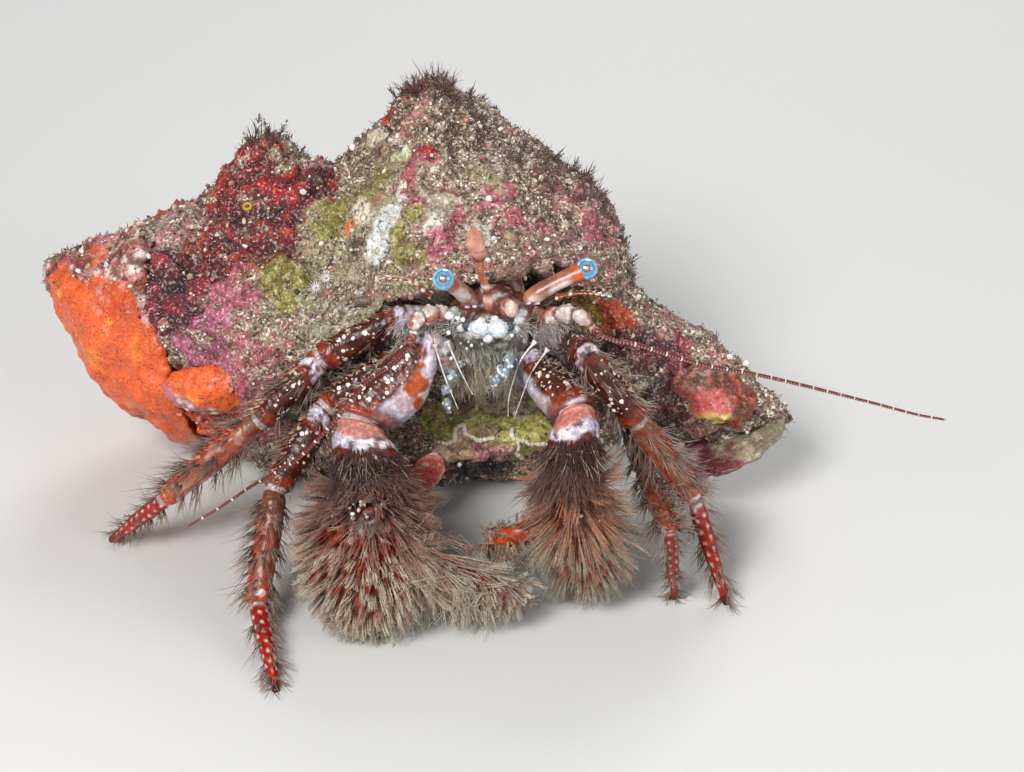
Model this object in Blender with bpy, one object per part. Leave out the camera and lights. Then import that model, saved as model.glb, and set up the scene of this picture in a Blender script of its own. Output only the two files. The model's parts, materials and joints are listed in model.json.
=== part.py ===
import math

import bmesh
import bpy
from mathutils import Matrix, Vector, noise

for old in list(bpy.data.objects):
    bpy.data.objects.remove(old)

# Everything below is in millimetres until it is placed; the floor is z = 0 and the animal faces -Y.
MM = 0.001
GAP = 0.3            # the joint between one hard segment and the next
SIDES = 10           # round a limb segment
TIP = 0.28           # half the width of a leg's blunt tip
TOE_DEEP = 0.2       # how far a toe reaches past the floor before it is cut flat
MID_X = -2.0         # the body's midline at the face

# Bones as (length, azimuth, elevation): merus, carpus, propodus, dactyl.
WALKING_LEGS = {
    "leg_right_2": dict(hip=(-10.3, -2.2, 20.8), root=(-6.3, -1.6, 20.8), scale=1.0,
                        bones=[(9.6, -153, -23), (9.3, -132, -41), (11.3, -100, -44), (10.8, -75, -20)]),
    "leg_right_3": dict(hip=(-10.1, -1.8, 25.1), root=(-6.6, 0.8, 23.2), scale=0.95,
                        bones=[(9.6, -169, -25), (8.6, -159, -41), (12.4, -167, -38), (11.0, 148, -43)]),
    "leg_left_2": dict(hip=(5.6, -3.0, 22.5), root=(2.3, -1.2, 22.6), scale=1.0,
                       bones=[(9.6, -83, 25), (9.3, -1, -55), (11.3, 9, -58), (10.8, -53, -60)]),
    "leg_left_3": dict(hip=(5.0, 1.5, 19.5), root=(2.3, 2.0, 20.4), scale=0.85,
                       bones=[(9.6, -48, -9), (8.6, -1, -78), (12.4, -81, 3), (11.0, 76, -69)]),
}
# (share of the length, width, height) along each segment.
LEG_SHAPES = {
    "merus": [(0, 2.3, 2.6), (0.15, 2.7, 3.2), (0.55, 2.9, 3.7), (0.85, 3.0, 3.6), (1, 2.6, 3.0)],
    "carpus": [(0, 2.5, 2.8), (0.15, 2.9, 3.2), (0.6, 3.1, 3.5), (0.88, 2.9, 3.2), (1, 2.4, 2.7)],
    "propodus": [(0, 2.2, 2.5), (0.15, 2.6, 3.0), (0.5, 2.7, 3.1), (0.85, 2.3, 2.6), (1, 1.9, 2.1)],
    "dactyl": [(0, 1.7, 1.9), (0.15, 1.9, 2.1), (0.5, 1.6, 1.8), (0.8, 1.1, 1.2), (1, 2 * TIP, 2 * TIP)],
}
CLAWS = {
    "claw_right": dict(hip=(-7.8, -6.2, 24.2), root=(-5.2, -4.4, 21.0),
                       bones=[(10.2, -158, -44), (8.2, -97, -29), (9.0, -12, -43), (8.6, 2, -24)],
                       palm=((-12.8, -18.4, 6.9), (8.7, 5.4, 7.6), (-20, 0, 0)), scale=1.0,
                       finger=((-3.8, -18.5, 4.5), (5.6, 3.9, 4.7)), split=(-6.4, -18, 5), apart=(1, 0, 0)),
    "claw_left": dict(hip=(1.9, -5.0, 21.6), root=(0.0, -4.5, 19.6),
                      bones=[(9.2, -63, -5), (8.2, -84, -34), (9.0, 125, -53), (8.6, 141, -36)],
                      palm=((6.9, -16.0, 8.0), (6.5, 4.3, 8.6), (19, 0, 0)), scale=0.86,
                      finger=((0.7, -12.4, 5.8), (3.9, 2.6, 3.6)), split=(2.4, -14, 6), apart=(-0.75, 0.66, 0)),
}
CLAW_SHAPES = {
    "merus": [(0, 3.4, 3.8), (0.15, 4.0, 4.8), (0.55, 4.6, 5.6), (0.85, 5.0, 6.2), (1, 4.6, 5.6)],
    "carpus": [(0, 5.2, 5.8), (0.15, 6.0, 6.8), (0.5, 6.6, 7.2), (0.85, 6.4, 6.8), (1, 5.6, 6.0)],
}

# The shell's outer form: (x, centre y, centre z, radius) from the apex to the end of its lip.
SHELL = [(-48.6, 14, 22.3, 0), (-46.5, 14, 20.2, 3.6), (-42.7, 14, 16.6, 7.9), (-36.5, 14.5, 15.2, 11.4),
         (-31, 15, 15.2, 13.8), (-27, 15, 15.8, 15.2), (-23, 15, 15.5, 16.0), (-18.6, 15, 15.4, 15.6),
         (-14, 15, 17.0, 17.6), (-8, 15, 18.8, 19.6), (-4, 15, 18.6, 19.4), (0.8, 15, 17.4, 17.7),
         (5, 14.5, 17.0, 15.3), (8.2, 13.8, 16.4, 14.0), (10.2, 13, 15.6, 11.8), (11.4, 12, 14.6, 9.8),
         (13, 9.8, 13.6, 7.6), (17.5, 7.5, 12.4, 5.8), (22, 6.3, 11.2, 4.4), (26.5, 5.6, 9.9, 3.0),
         (28.7, 5.3, 9.1, 1.6), (29.4, 5.3, 8.7, 0)]
WHORL_RATIO = 1.9     # how much further along the axis the suture is, one turn later
SUTURE_DEEP = 1.3
LUMP = 0.7            # how far the crust on the shell stands in and out
TUFTS = [(-8.8, -4, 4.6, 3.2), (-25.2, -4, 5.4, 3.0), (-40.0, 30, 0.8, 2.5)]   # x, degrees, height, spread
SPONGE_END = Vector((-35.8, 14, 17))
SPONGE_WAY = Vector((-1, -0.1, -0.25))

# The hollow of the shell: (centre, half width, half height), from the open mouth in and up over the whorl.
HOLLOW = [((-1.0, -9, 18.6), 14.6, 10.0), ((-1.0, -1, 18.6), 13.8, 9.5), ((-0.8, 4, 19.4), 11.4, 8.5),
          ((-2.0, 9, 22.4), 8.4, 7.3), ((-5, 14.5, 26.4), 6.6, 6.4), ((-8, 20, 27), 5.6, 5.4),
          ((-10.6, 24.4, 23), 4.6, 4.4), ((-12, 26, 16.8), 3.4, 3.2)]

main = bpy.data.collections.new("hermit_crab")
cutters = bpy.data.collections.new("cutters")
for box in (main, cutters):
    bpy.context.scene.collection.children.link(box)
stand = bpy.data.objects.new("stand", None)      # every part hangs from it, so the whole is moved in one go
main.objects.link(stand)


def way(azimuth, elevation):
    a, e = math.radians(azimuth), math.radians(elevation)
    return Vector((math.cos(a) * math.cos(e), math.sin(a) * math.cos(e), math.sin(e)))


def place(name, bm, colour, rough=0.6, box=main):
    """The bmesh as a named object with its own material."""
    bmesh.ops.recalc_face_normals(bm, faces=bm.faces)
    if bm.calc_volume(signed=True) < 0:
        bmesh.ops.reverse_faces(bm, faces=bm.faces)
    for face in bm.faces:
        face.smooth = True
    middle = sum((v.co for v in bm.verts), Vector()) / len(bm.verts)
    bmesh.ops.translate(bm, vec=-middle, verts=bm.verts)
    bmesh.ops.scale(bm, vec=(MM, MM, MM), verts=bm.verts)
    mesh = bpy.data.meshes.new(name)
    bm.to_mesh(mesh)
    bm.free()
    body = bpy.data.objects.new(name, mesh)
    body.location = middle * MM
    body.parent = stand
    box.objects.link(body)
    look = bpy.data.materials.new(name)
    look.use_nodes = True
    shader = look.node_tree.nodes["Principled BSDF"]
    shader.inputs["Base Color"].default_value = (*colour, 1)
    shader.inputs["Roughness"].default_value = rough
    mesh.materials.append(look)
    return body


def cut(bm, at, keep):
    """Takes off what is behind a plane and closes the body with a flat face."""
    whole = bm.verts[:] + bm.edges[:] + bm.faces[:]
    made = bmesh.ops.bisect_plane(bm, geom=whole, dist=1e-5, plane_co=at, plane_no=keep, clear_inner=True)
    rim = [e for e in made["geom_cut"] if isinstance(e, bmesh.types.BMEdge)]
    if rim:
        bmesh.ops.holes_fill(bm, edges=rim)


def skin(bm, rings):
    """Faces between closed rings of corners, with flat ends."""
    rows = [[bm.verts.new(p) for p in ring] for ring in rings]
    n = len(rows[0])
    for a, b in zip(rows[:-1], rows[1:]):
        for i in range(n):
            j = (i + 1) % n
            bm.faces.new((a[i], a[j], b[j], b[i]))
    bm.faces.new(rows[0][::-1])
    bm.faces.new(rows[-1])


def frame_of(along):
    side = along.cross(Vector((0, 0, 1)))
    side = Vector((1, 0, 0)) if side.length < 0.05 else side.normalized()
    return side, side.cross(along).normalized()


def segment(bm, start, end, first, last, shape, scale=1.0, sides=SIDES):
    """A tapering segment whose two ends lie in the planes `first` and `last`."""
    along = (end - start).normalized()
    side, up = frame_of(along)
    rings = []
    for share, wide, high in shape:
        ring = []
        for i in range(sides):
            turn = 2 * math.pi * i / sides
            off = side * math.cos(turn) * wide * scale / 2 + up * math.sin(turn) * high * scale / 2
            near = ((first[0] - start - off).dot(first[1])) / along.dot(first[1])
            far = ((last[0] - start - off).dot(last[1])) / along.dot(last[1])
            ring.append(start + off + along * (near + share * (far - near)))
        rings.append(ring)
    skin(bm, rings)


def chain(hip, bones):
    points = [Vector(hip)]
    for length, azimuth, elevation in bones:
        points.append(points[-1] + way(azimuth, elevation) * length)
    return points


def joint_planes(points):
    """For each segment, the planes halfway round the bend at its two ends, set back by half a gap."""
    ways = [(b - a).normalized() for a, b in zip(points[:-1], points[1:])]
    bends = [ways[0]] + [(a + b).normalized() for a, b in zip(ways[:-1], ways[1:])] + [ways[-1]]
    return [((points[i] + bends[i] * GAP / 2, bends[i]), (points[i + 1] - bends[i + 1] * GAP / 2, bends[i + 1]))
            for i in range(len(ways))]


def tube(name, path, radii, colour, sides=8, rough=0.5):
    """A closed tapering tube through the points."""
    points = [Vector(p) for p in path]
    rings = []
    for i, p in enumerate(points):
        along = (points[min(i + 1, len(points) - 1)] - points[max(i - 1, 0)]).normalized()
        side, up = frame_of(along)
        rings.append([p + (side * math.cos(2 * math.pi * k / sides) + up * math.sin(2 * math.pi * k / sides)) * radii[i]
                      for k in range(sides)])
    bm = bmesh.new()
    skin(bm, rings)
    return place(name, bm, colour, rough)


def ellipsoid(centre, radii, rows=10, sides=16, turn=(0, 0, 0)):
    bm = bmesh.new()
    bmesh.ops.create_uvsphere(bm, u_segments=sides, v_segments=rows, radius=1)
    spin = Matrix.Rotation(math.radians(turn[2]), 4, "Z") @ Matrix.Rotation(math.radians(turn[1]), 4, "Y")
    spin = spin @ Matrix.Rotation(math.radians(turn[0]), 4, "X")
    bmesh.ops.transform(bm, matrix=Matrix.Translation(Vector(centre)) @ spin @ Matrix.Diagonal((*radii, 1)),
                        verts=bm.verts)
    return bm


# ---- the four walking legs ----
LEG_COLOURS = {"merus": (0.22, 0.07, 0.04), "carpus": (0.24, 0.07, 0.04),
               "propodus": (0.42, 0.16, 0.09), "dactyl": (0.55, 0.05, 0.02)}
for leg, facts in WALKING_LEGS.items():
    points = chain(facts["hip"], facts["bones"])
    points[-1].z = -TOE_DEEP
    root = Vector(facts["root"])
    planes = joint_planes([root] + points)
    bm = bmesh.new()
    segment(bm, root, points[0], planes[0][0], planes[0][1], [(0, 2.2, 2.4), (0.5, 2.5, 2.7), (1, 2.2, 2.5)],
            facts["scale"])
    place(leg + "_ischium", bm, (0.30, 0.12, 0.08))
    for i, (part, shape) in enumerate(LEG_SHAPES.items()):
        bm = bmesh.new()
        segment(bm, points[i], points[i + 1], planes[i + 1][0], planes[i + 1][1], shape, facts["scale"])
        cut(bm, (0, 0, 0), (0, 0, 1))
        place(f"{leg}_{part}", bm, LEG_COLOURS[part])

# ---- the two claws, to the ends of their coats ----
for claw, facts in CLAWS.items():
    points = chain(facts["hip"], facts["bones"])
    root = Vector(facts["root"])
    planes = joint_planes([root] + points)
    bm = bmesh.new()
    segment(bm, root, points[0], planes[0][0], planes[0][1], [(0, 3.0, 3.2), (0.5, 3.4, 3.6), (1, 3.3, 3.7)])
    place(claw + "_ischium", bm, (0.55, 0.45, 0.50))
    for i, (part, shape) in enumerate(CLAW_SHAPES.items()):
        bm = bmesh.new()
        segment(bm, points[i], points[i + 1], planes[i + 1][0], planes[i + 1][1], shape, facts["scale"])
        place(f"{claw}_{part}", bm, (0.20, 0.05, 0.03))
    wrist = planes[3][0]
    split, across = Vector(facts["split"]), Vector(facts["apart"]).normalized()
    bm = ellipsoid(*facts["palm"][:2], turn=facts["palm"][2])
    cut(bm, wrist[0], wrist[1])
    cut(bm, split - across * GAP / 2, -across)
    cut(bm, (0, 0, 0), (0, 0, 1))
    place(claw + "_palm", bm, (0.36, 0.29, 0.22), 0.9)
    bm = ellipsoid(*facts["finger"], rows=8, sides=14)
    cut(bm, split + across * GAP / 2, across)
    cut(bm, wrist[0], wrist[1])
    cut(bm, (0, 0, 0), (0, 0, 1))
    place(claw + "_finger", bm, (0.42, 0.25, 0.17), 0.9)

# ---- the body, from the face back into the whorl ----
bm = ellipsoid((MID_X, -0.4, 24.4), (4.3, 4.3, 2.9))
cut(bm, (0, 0, 24.4), (0, 0, 1))
cut(bm, (0, 3.4, 0), (0, -1, 0))
place("shield", bm, (0.34, 0.20, 0.16))
bm = ellipsoid((MID_X, 0, 22.4), (3.9, 4.5, 3.6))
cut(bm, (0, 0, 24.4 - GAP), (0, 0, -1))
cut(bm, (0, 3.4, 0), (0, -1, 0))
cut(bm, (0, -4.1, 0), (0, 1, 0))
place("thorax", bm, (0.50, 0.42, 0.38))
bm = ellipsoid((-2.4, 5.6, 23.6), (3.9, 4.0, 3.5))
cut(bm, (0, 3.4 + GAP, 0), (0, 1, 0))
cut(bm, (0, 8.4, 0), (0, -1, 0))
place("rear_carapace", bm, (0.46, 0.30, 0.24))
tube("abdomen", [(-3.0, 9.3, 24.6), (-4.0, 12.0, 26.2), (-5.6, 15.5, 27.4), (-8.0, 20.0, 26.9), (-10.0, 23.4, 24.2),
                 (-10.7, 24.6, 22.0)], [2.7, 3.6, 3.4, 3.0, 2.4, 1.9], (0.55, 0.33, 0.27), 12)
tube("tail_fan", [(-10.9, 24.9, 21.6), (-11.4, 25.5, 20.2), (-11.9, 25.9, 17.6)], [1.7, 1.8, 0.8],
     (0.50, 0.30, 0.24), 10)
for side, x, out in (("right", -5.0, -1), ("left", 0.6, 1)):
    tube(f"leg_{side}_4", [(x + out * 1.4, 5.6, 21.6), (x + out * 3.4, 5.4, 20.2), (x + out * 4.0, 3.4, 17.8)],
         [0.75, 0.8, 0.5], (0.45, 0.28, 0.22))
    tube(f"leg_{side}_5", [(x + out * 0.9, 8.3, 20.4), (x + out * 2.2, 7.6, 19.4), (x + out * 2.6, 5.6, 18.2)],
         [0.5, 0.55, 0.4], (0.45, 0.28, 0.22))

# ---- the face ----
EYES = {"right": ((-3.7, -5.2, 28.2), (-6.3, -8.7, 32.5)), "left": ((1.4, -5.3, 28.5), (7.0, -4.6, 31.5))}
STALK = [(0, 1.3), (0.15, 1.6), (0.5, 1.45), (0.85, 1.6), (1, 1.7)]
CORNEA = 1.05
for side, (base, tip) in EYES.items():
    base, tip = Vector(base), Vector(tip)
    along = (tip - base).normalized()
    neck = tip - along * 0.35
    bm = bmesh.new()
    segment(bm, base, neck, (base, along), (neck - along * GAP, along), [(t, w, w) for t, w in STALK])
    place(f"eyestalk_{side}", bm, (0.50, 0.24, 0.14), 0.35)
    bm = ellipsoid(tip, (CORNEA, CORNEA, CORNEA), rows=8, sides=12)
    cut(bm, neck, along)
    place(f"cornea_{side}", bm, (0.10, 0.42, 0.62), 0.15)

tube("antennule_right", [(-2.15, -5.9, 27.9), (-2.3, -6.6, 30.2), (-2.9, -7.8, 33.0), (-3.1, -8.1, 35.0),
                         (-3.3, -8.4, 36.0), (-3.5, -8.6, 38.0)],
     [0.5, 0.55, 0.45, 0.45, 0.7, 0.35], (0.36, 0.17, 0.12))
tube("antennule_left", [(-0.6, -6.1, 27.6), (-0.5, -7.6, 29.3), (-0.1, -9.4, 30.2), (0.1, -10.6, 29.6)],
     [0.5, 0.55, 0.5, 0.55], (0.40, 0.20, 0.14))
ANTENNAE = {
    "right": dict(peduncle=[(-6.2, -5.0, 26.9), (-7.6, -6.2, 27.5), (-8.9, -7.5, 27.6), (-9.3, -8.7, 26.4)],
                  scale=[(-7.6, -5.0, 28.9), (-9.6, -5.0, 30.4), (-12.3, -4.6, 30.6)],
                  feeler=[(-9.6, -9.2, 25.9), (-11.4, -11.4, 24.8), (-13.3, -13.8, 24.6), (-15.0, -16.0, 23.2),
                          (-17.6, -16.6, 20.2), (-20.2, -16.8, 17.6), (-24.2, -17.2, 15.2), (-27.4, -17.6, 13.0),
                          (-30.4, -18.0, 11.2)]),
    "left": dict(peduncle=[(3.4, -5.4, 26.6), (4.6, -6.2, 27.5), (6.4, -7.6, 28.1), (7.9, -8.6, 27.0)],
                 scale=[(4.3, -5.8, 29.2), (6.6, -6.4, 29.9), (9.4, -6.6, 29.6)],
                 feeler=[(8.2, -8.9, 26.7), (10.0, -9.4, 26.3), (12.0, -9.6, 26.0), (17.9, -8.0, 23.1),
                         (23.6, -6.0, 20.8), (29.0, -4.0, 18.3), (36.0, -1.4, 14.9), (40.8, 0.6, 12.4),
                         (44.2, 2.0, 10.9)]),
}
for side, facts in ANTENNAE.items():
    tube(f"antenna_{side}_peduncle", facts["peduncle"], [0.8, 1.05, 0.95, 0.5], (0.55, 0.40, 0.32))
    tube(f"antenna_{side}_scale", facts["scale"], [0.4, 0.38, 0.26], (0.40, 0.14, 0.09))
    count = len(facts["feeler"])
    tube(f"antenna_{side}_feeler", facts["feeler"], [0.40 - 0.14 * i / (count - 1) for i in range(count)],
         (0.40, 0.04, 0.03), 6)

bm = ellipsoid((-2.5, -5.5, 24.9), (2.6, 1.25, 1.8))
cut(bm, (0, -5.0, 0), (0, -1, 0))
place("mouthparts", bm, (0.70, 0.74, 0.78), 0.3)
tube("maxilliped_right", [(-4.6, -7.0, 22.6), (-5.6, -8.4, 22.3), (-6.2, -9.2, 20.6), (-6.0, -9.6, 18.6)],
     [0.55, 0.65, 0.6, 0.35], (0.55, 0.62, 0.68))
tube("maxilliped_left", [(-0.4, -7.1, 23.6), (0.1, -8.4, 24.2), (-0.6, -9.4, 23.0), (-2.2, -9.9, 21.6)],
     [0.55, 0.7, 0.65, 0.4], (0.60, 0.68, 0.72))


# ---- the shell it lives in, and what grows on it ----
def shell_row(share):
    """Where the shell's skin is, at this share of the way from the apex to the lip: x, centre and radius."""
    steps = [0.0]
    for a, b in zip(SHELL[:-1], SHELL[1:]):
        steps.append(steps[-1] + math.hypot(b[0] - a[0], b[3] - a[3]))
    at = share * steps[-1]
    for i, (a, b) in enumerate(zip(SHELL[:-1], SHELL[1:])):
        if at <= steps[i + 1] or i == len(SHELL) - 2:
            t = (at - steps[i]) / (steps[i + 1] - steps[i])
            return [a[k] + (b[k] - a[k]) * t for k in range(4)]


def shell_skin(swell):
    """The shell's outer form grown by `swell`; a turn of 0 is its top and 90 degrees its front."""
    bm = bmesh.new()
    bmesh.ops.create_uvsphere(bm, u_segments=38, v_segments=30, radius=1)
    for v in bm.verts:
        share = math.acos(max(-1, min(1, -v.co.z))) / math.pi
        turn = math.atan2(v.co.y, v.co.x) if abs(v.co.z) < 0.9999 else 0
        x, y, z, r = shell_row(share)
        crust = Vector((x, r * math.sin(turn), r * math.cos(turn)))
        fade = min(1, r / 6)
        r += fade * LUMP * (noise.noise(crust * 0.16) * 1.6 + noise.noise(crust * 0.37) * 0.9)
        if x < 4:
            phase = math.log((x + 49.2) / 30.4) / math.log(WHORL_RATIO) - turn / (2 * math.pi)
            phase -= round(phase)
            r -= fade * SUTURE_DEEP * math.exp(-(phase / 0.08) ** 2)
        for where, degrees, height, spread in TUFTS:
            round_it = abs(math.remainder(turn - math.radians(degrees), 2 * math.pi)) * r
            r += height * math.exp(-((x - where) ** 2 + round_it ** 2) / (2 * spread ** 2))
        r = max(r + swell, 0) if r > 0.01 else r
        v.co = Vector((x, y - r * math.sin(turn), z + r * math.cos(turn)))
    return bm


bm = shell_skin(0)
cut(bm, SPONGE_END, -SPONGE_WAY)
cut(bm, (0, 0, 0), (0, 0, 1))
shell = place("shell", bm, (0.36, 0.28, 0.24), 0.9)
bm = shell_skin(0)
cut(bm, SPONGE_END + SPONGE_WAY.normalized() * GAP, SPONGE_WAY)
cut(bm, (0, 0, 0), (0, 0, 1))
place("sponge_cap", bm, (0.85, 0.20, 0.03), 0.8)

bm = bmesh.new()
rings = []
for centre, wide, high in HOLLOW:
    ring = []
    for i in range(24):
        c, s = math.cos(math.pi * i / 12), math.sin(math.pi * i / 12)
        reach = (abs(c) ** 3 + abs(s) ** 3) ** (-1 / 3)
        ring.append(Vector((c * reach * wide, 0, s * reach * high)))
    rings.append((Vector(centre), ring))
centres = [c for c, _ in rings]
turned = []
for i, (centre, ring) in enumerate(rings):
    along = centres[min(i + 1, len(centres) - 1)] - centres[max(i - 1, 0)]
    tilt = math.atan2(along.z, along.y) if i > 2 else 0.0
    turned.append([centre + Matrix.Rotation(tilt, 3, "X") @ p for p in ring])
skin(bm, turned)
hollow = place("hollow", bm, (0.5, 0.5, 0.5), 0.8, cutters)
swollen = place("swollen_shell", shell_skin(0.25), (0.5, 0.5, 0.5), 0.8, cutters)


def take_away(body, cutter):
    carve = body.modifiers.new(cutter.name, "BOOLEAN")
    carve.operation, carve.solver, carve.object = "DIFFERENCE", "EXACT", cutter


take_away(shell, hollow)
for name, centre, radii, turn, colour in (
        ("sponge_lobe", (-30.9, 3.2, 13.2), (4.9, 3.4, 2.8), (0, -10, 0), (0.80, 0.16, 0.03)),
        ("lip_growth", (20.6, 2.4, 13.6), (4.8, 2.4, 2.7), (0, 30, 0), (0.60, 0.12, 0.13)),
        ("lip_plate", (22.6, 3.0, 7.6), (6.4, 4.0, 0.75), (14, -28, 0), (0.40, 0.26, 0.30)),
        ("lip_flake", (-8.4, -3.4, 7.2), (2.0, 0.9, 3.4), (24, 14, 0), (0.60, 0.14, 0.12))):
    growth = place(name, ellipsoid(centre, radii, turn=turn), colour, 0.85)
    take_away(growth, swollen)

for cutter in (hollow, swollen):
    cutter.hide_render = True
    cutter.display_type = "WIRE"

# ---- the origin under the middle of the whole, on the floor ----
bpy.context.view_layer.update()
corners = [body.matrix_world @ v.co for body in main.objects if body.type == "MESH" for v in body.data.vertices]
low = Vector([min(c[axis] for c in corners) for axis in range(3)])
high = Vector([max(c[axis] for c in corners) for axis in range(3)])
stand.location = -Vector(((low.x + high.x) / 2, (low.y + high.y) / 2, low.z))
print("shifted by", [round(v / MM, 3) for v in stand.location], "parts", len(main.objects) - 1)
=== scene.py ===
import json
import math

import bpy
import numpy as np
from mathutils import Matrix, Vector, bvhtree, kdtree


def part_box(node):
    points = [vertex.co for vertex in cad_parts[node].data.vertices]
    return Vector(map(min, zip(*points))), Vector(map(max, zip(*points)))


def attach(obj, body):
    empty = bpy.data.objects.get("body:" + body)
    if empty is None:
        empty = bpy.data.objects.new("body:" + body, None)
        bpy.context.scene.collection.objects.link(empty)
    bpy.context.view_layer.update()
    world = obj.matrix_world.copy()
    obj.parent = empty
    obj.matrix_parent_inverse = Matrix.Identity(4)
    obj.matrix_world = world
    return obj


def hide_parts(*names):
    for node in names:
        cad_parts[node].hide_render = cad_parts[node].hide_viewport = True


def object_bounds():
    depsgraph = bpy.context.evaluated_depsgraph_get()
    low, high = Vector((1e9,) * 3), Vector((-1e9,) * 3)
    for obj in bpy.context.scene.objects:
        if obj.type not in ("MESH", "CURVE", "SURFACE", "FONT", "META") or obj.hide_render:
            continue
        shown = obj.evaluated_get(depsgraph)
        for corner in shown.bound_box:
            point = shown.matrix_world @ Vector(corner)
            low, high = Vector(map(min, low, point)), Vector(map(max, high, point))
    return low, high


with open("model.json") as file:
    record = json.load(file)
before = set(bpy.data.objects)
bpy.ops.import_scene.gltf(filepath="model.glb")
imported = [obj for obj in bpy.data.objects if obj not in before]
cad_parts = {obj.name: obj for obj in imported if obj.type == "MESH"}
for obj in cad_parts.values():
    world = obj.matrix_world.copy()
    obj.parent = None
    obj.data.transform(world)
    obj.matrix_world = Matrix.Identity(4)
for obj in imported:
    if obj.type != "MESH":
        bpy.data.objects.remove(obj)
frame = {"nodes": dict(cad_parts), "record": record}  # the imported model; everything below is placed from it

packedBox = [list(corner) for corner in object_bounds()]
mm = 0.001  # lengths below are in millimetres until a mesh is made
fullTurn = 2 * np.pi
scene = bpy.context.scene
patchSize = 0.003  # how much of the unwrap one hair or grain takes


def rgb(red, green, blue):  # a colour in steps of 0-255, made linear
    shares = np.array([red, green, blue]) / 255
    return np.where(shares <= 0.04, shares / 12.92, ((shares + 0.055) / 1.055) ** 2.4)


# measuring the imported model
def nodePoints(name):  # a node's corners
    mesh = frame["nodes"][name].data
    co = np.empty(len(mesh.vertices) * 3)
    mesh.vertices.foreach_get("co", co)
    return co.reshape(-1, 3) / mm


def nodeBox(name):
    low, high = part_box(name)
    return np.array(low) / mm, np.array(high) / mm


def nodeMiddle(name):
    low, high = nodeBox(name)
    return (low + high) / 2


def nodeMesh(names, scale):  # the corners and faces of several nodes as one
    corners, faces = [], []
    for name in names:
        mesh = frame["nodes"][name].data
        start = len(corners)
        corners += [v.co / scale for v in mesh.vertices]
        faces += [[start + i for i in p.vertices] for p in mesh.polygons]
    return corners, faces


def nodeTree(*names):  # for casting rays at nodes
    return bvhtree.BVHTree.FromPolygons(*nodeMesh(names, mm))


def meeting(a, b):  # the middle of the joint between two nodes
    one, two = nodePoints(a), nodePoints(b)
    gaps = np.linalg.norm(one[:, None] - two[None], axis=2)
    close = gaps.min() + 0.6
    return (one[gaps.min(1) < close].mean(0) + two[gaps.min(0) < close].mean(0)) / 2


def farEnd(name, start, depth=0.7):  # the middle of the end furthest from a point
    points = nodePoints(name)
    away = np.linalg.norm(points - start, axis=1)
    return points[away > away.max() - depth].mean(0)


def nearEnd(name, other, depth=0.5):  # the middle of the end closest to a point
    points = nodePoints(name)
    away = np.linalg.norm(points - other, axis=1)
    return points[away < away.min() + depth].mean(0)


# small sums on arrays
def unit(v):
    v = np.asarray(v, float)
    return v / np.maximum(np.linalg.norm(v, axis=-1, keepdims=True), 1e-9)


def step(x, low, high):  # 0 below low, 1 above high, smooth between
    t = np.clip((np.asarray(x, float) - low) / (high - low), 0, 1)
    return t * t * (3 - 2 * t)


def near(x, middle, width):  # 1 at the middle, fading over the width
    return np.exp(-((np.asarray(x, float) - middle) / width) ** 2)


def blend(a, b, share):
    share = np.asarray(share, float)
    return a + (np.asarray(b) - a) * share[..., None]


def layered(colour, *coats):  # colours laid over a first one, each with its share
    for coat, share in coats:
        colour = blend(colour, coat, share)
    return colour


def scrambled(cell, seed):  # a steady random number from 0 to 1 for each whole-number place
    x, y, z = (cell[..., i].astype(np.int64) for i in range(3))
    most = 0x7FFFFFFF
    n = (x * 374761393 + y * 668265263 + z * 1274126177 + seed * 1013904223) & most
    n = ((n ^ (n >> 13)) * 1103515245 + 12345) & most
    n = ((n ^ (n >> 16)) * 69069 + 1) & most
    return ((n >> 7) & 0xFFFF) / 65535


cubeCorners = [np.array([x, y, z]) for x in (0, 1) for y in (0, 1) for z in (0, 1)]


def waves(points, size, seed=0, rough=1):  # soft random waves from about -1 to 1
    total, strength, most = 0, 1.0, 0
    for octave in range(rough):
        p = np.asarray(points) / size * 2 ** octave + seed * 7.13
        cell = np.floor(p)
        f = p - cell
        f = f * f * (3 - 2 * f)
        layer = 0
        for corner in cubeCorners:
            weight = np.prod(np.where(corner, f, 1 - f), axis=-1)
            layer = layer + weight * scrambled(cell + corner, seed + octave)
        total = total + strength * (layer * 2 - 1)
        most += strength
        strength /= 2
    return total / most * 1.6


def cells(points, size, seed=0):  # distance to the nearest and next pebble, and its number
    p = np.asarray(points) / size
    home = np.floor(p)
    first = np.full(len(p), 9.0)
    second = np.full(len(p), 9.0)
    number = np.zeros(len(p))
    for cell in (home + (x, y, z) for x in (-1, 0, 1) for y in (-1, 0, 1) for z in (-1, 0, 1)):
        spot = cell + np.stack([scrambled(cell, seed + k) for k in range(3)], axis=-1)
        away = np.linalg.norm(p - spot, axis=1)
        closer = away < first
        second = np.where(closer, first, np.minimum(second, away))
        number = np.where(closer, scrambled(cell, seed + 5), number)
        first = np.where(closer, away, first)
    return first, second, number


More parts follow.
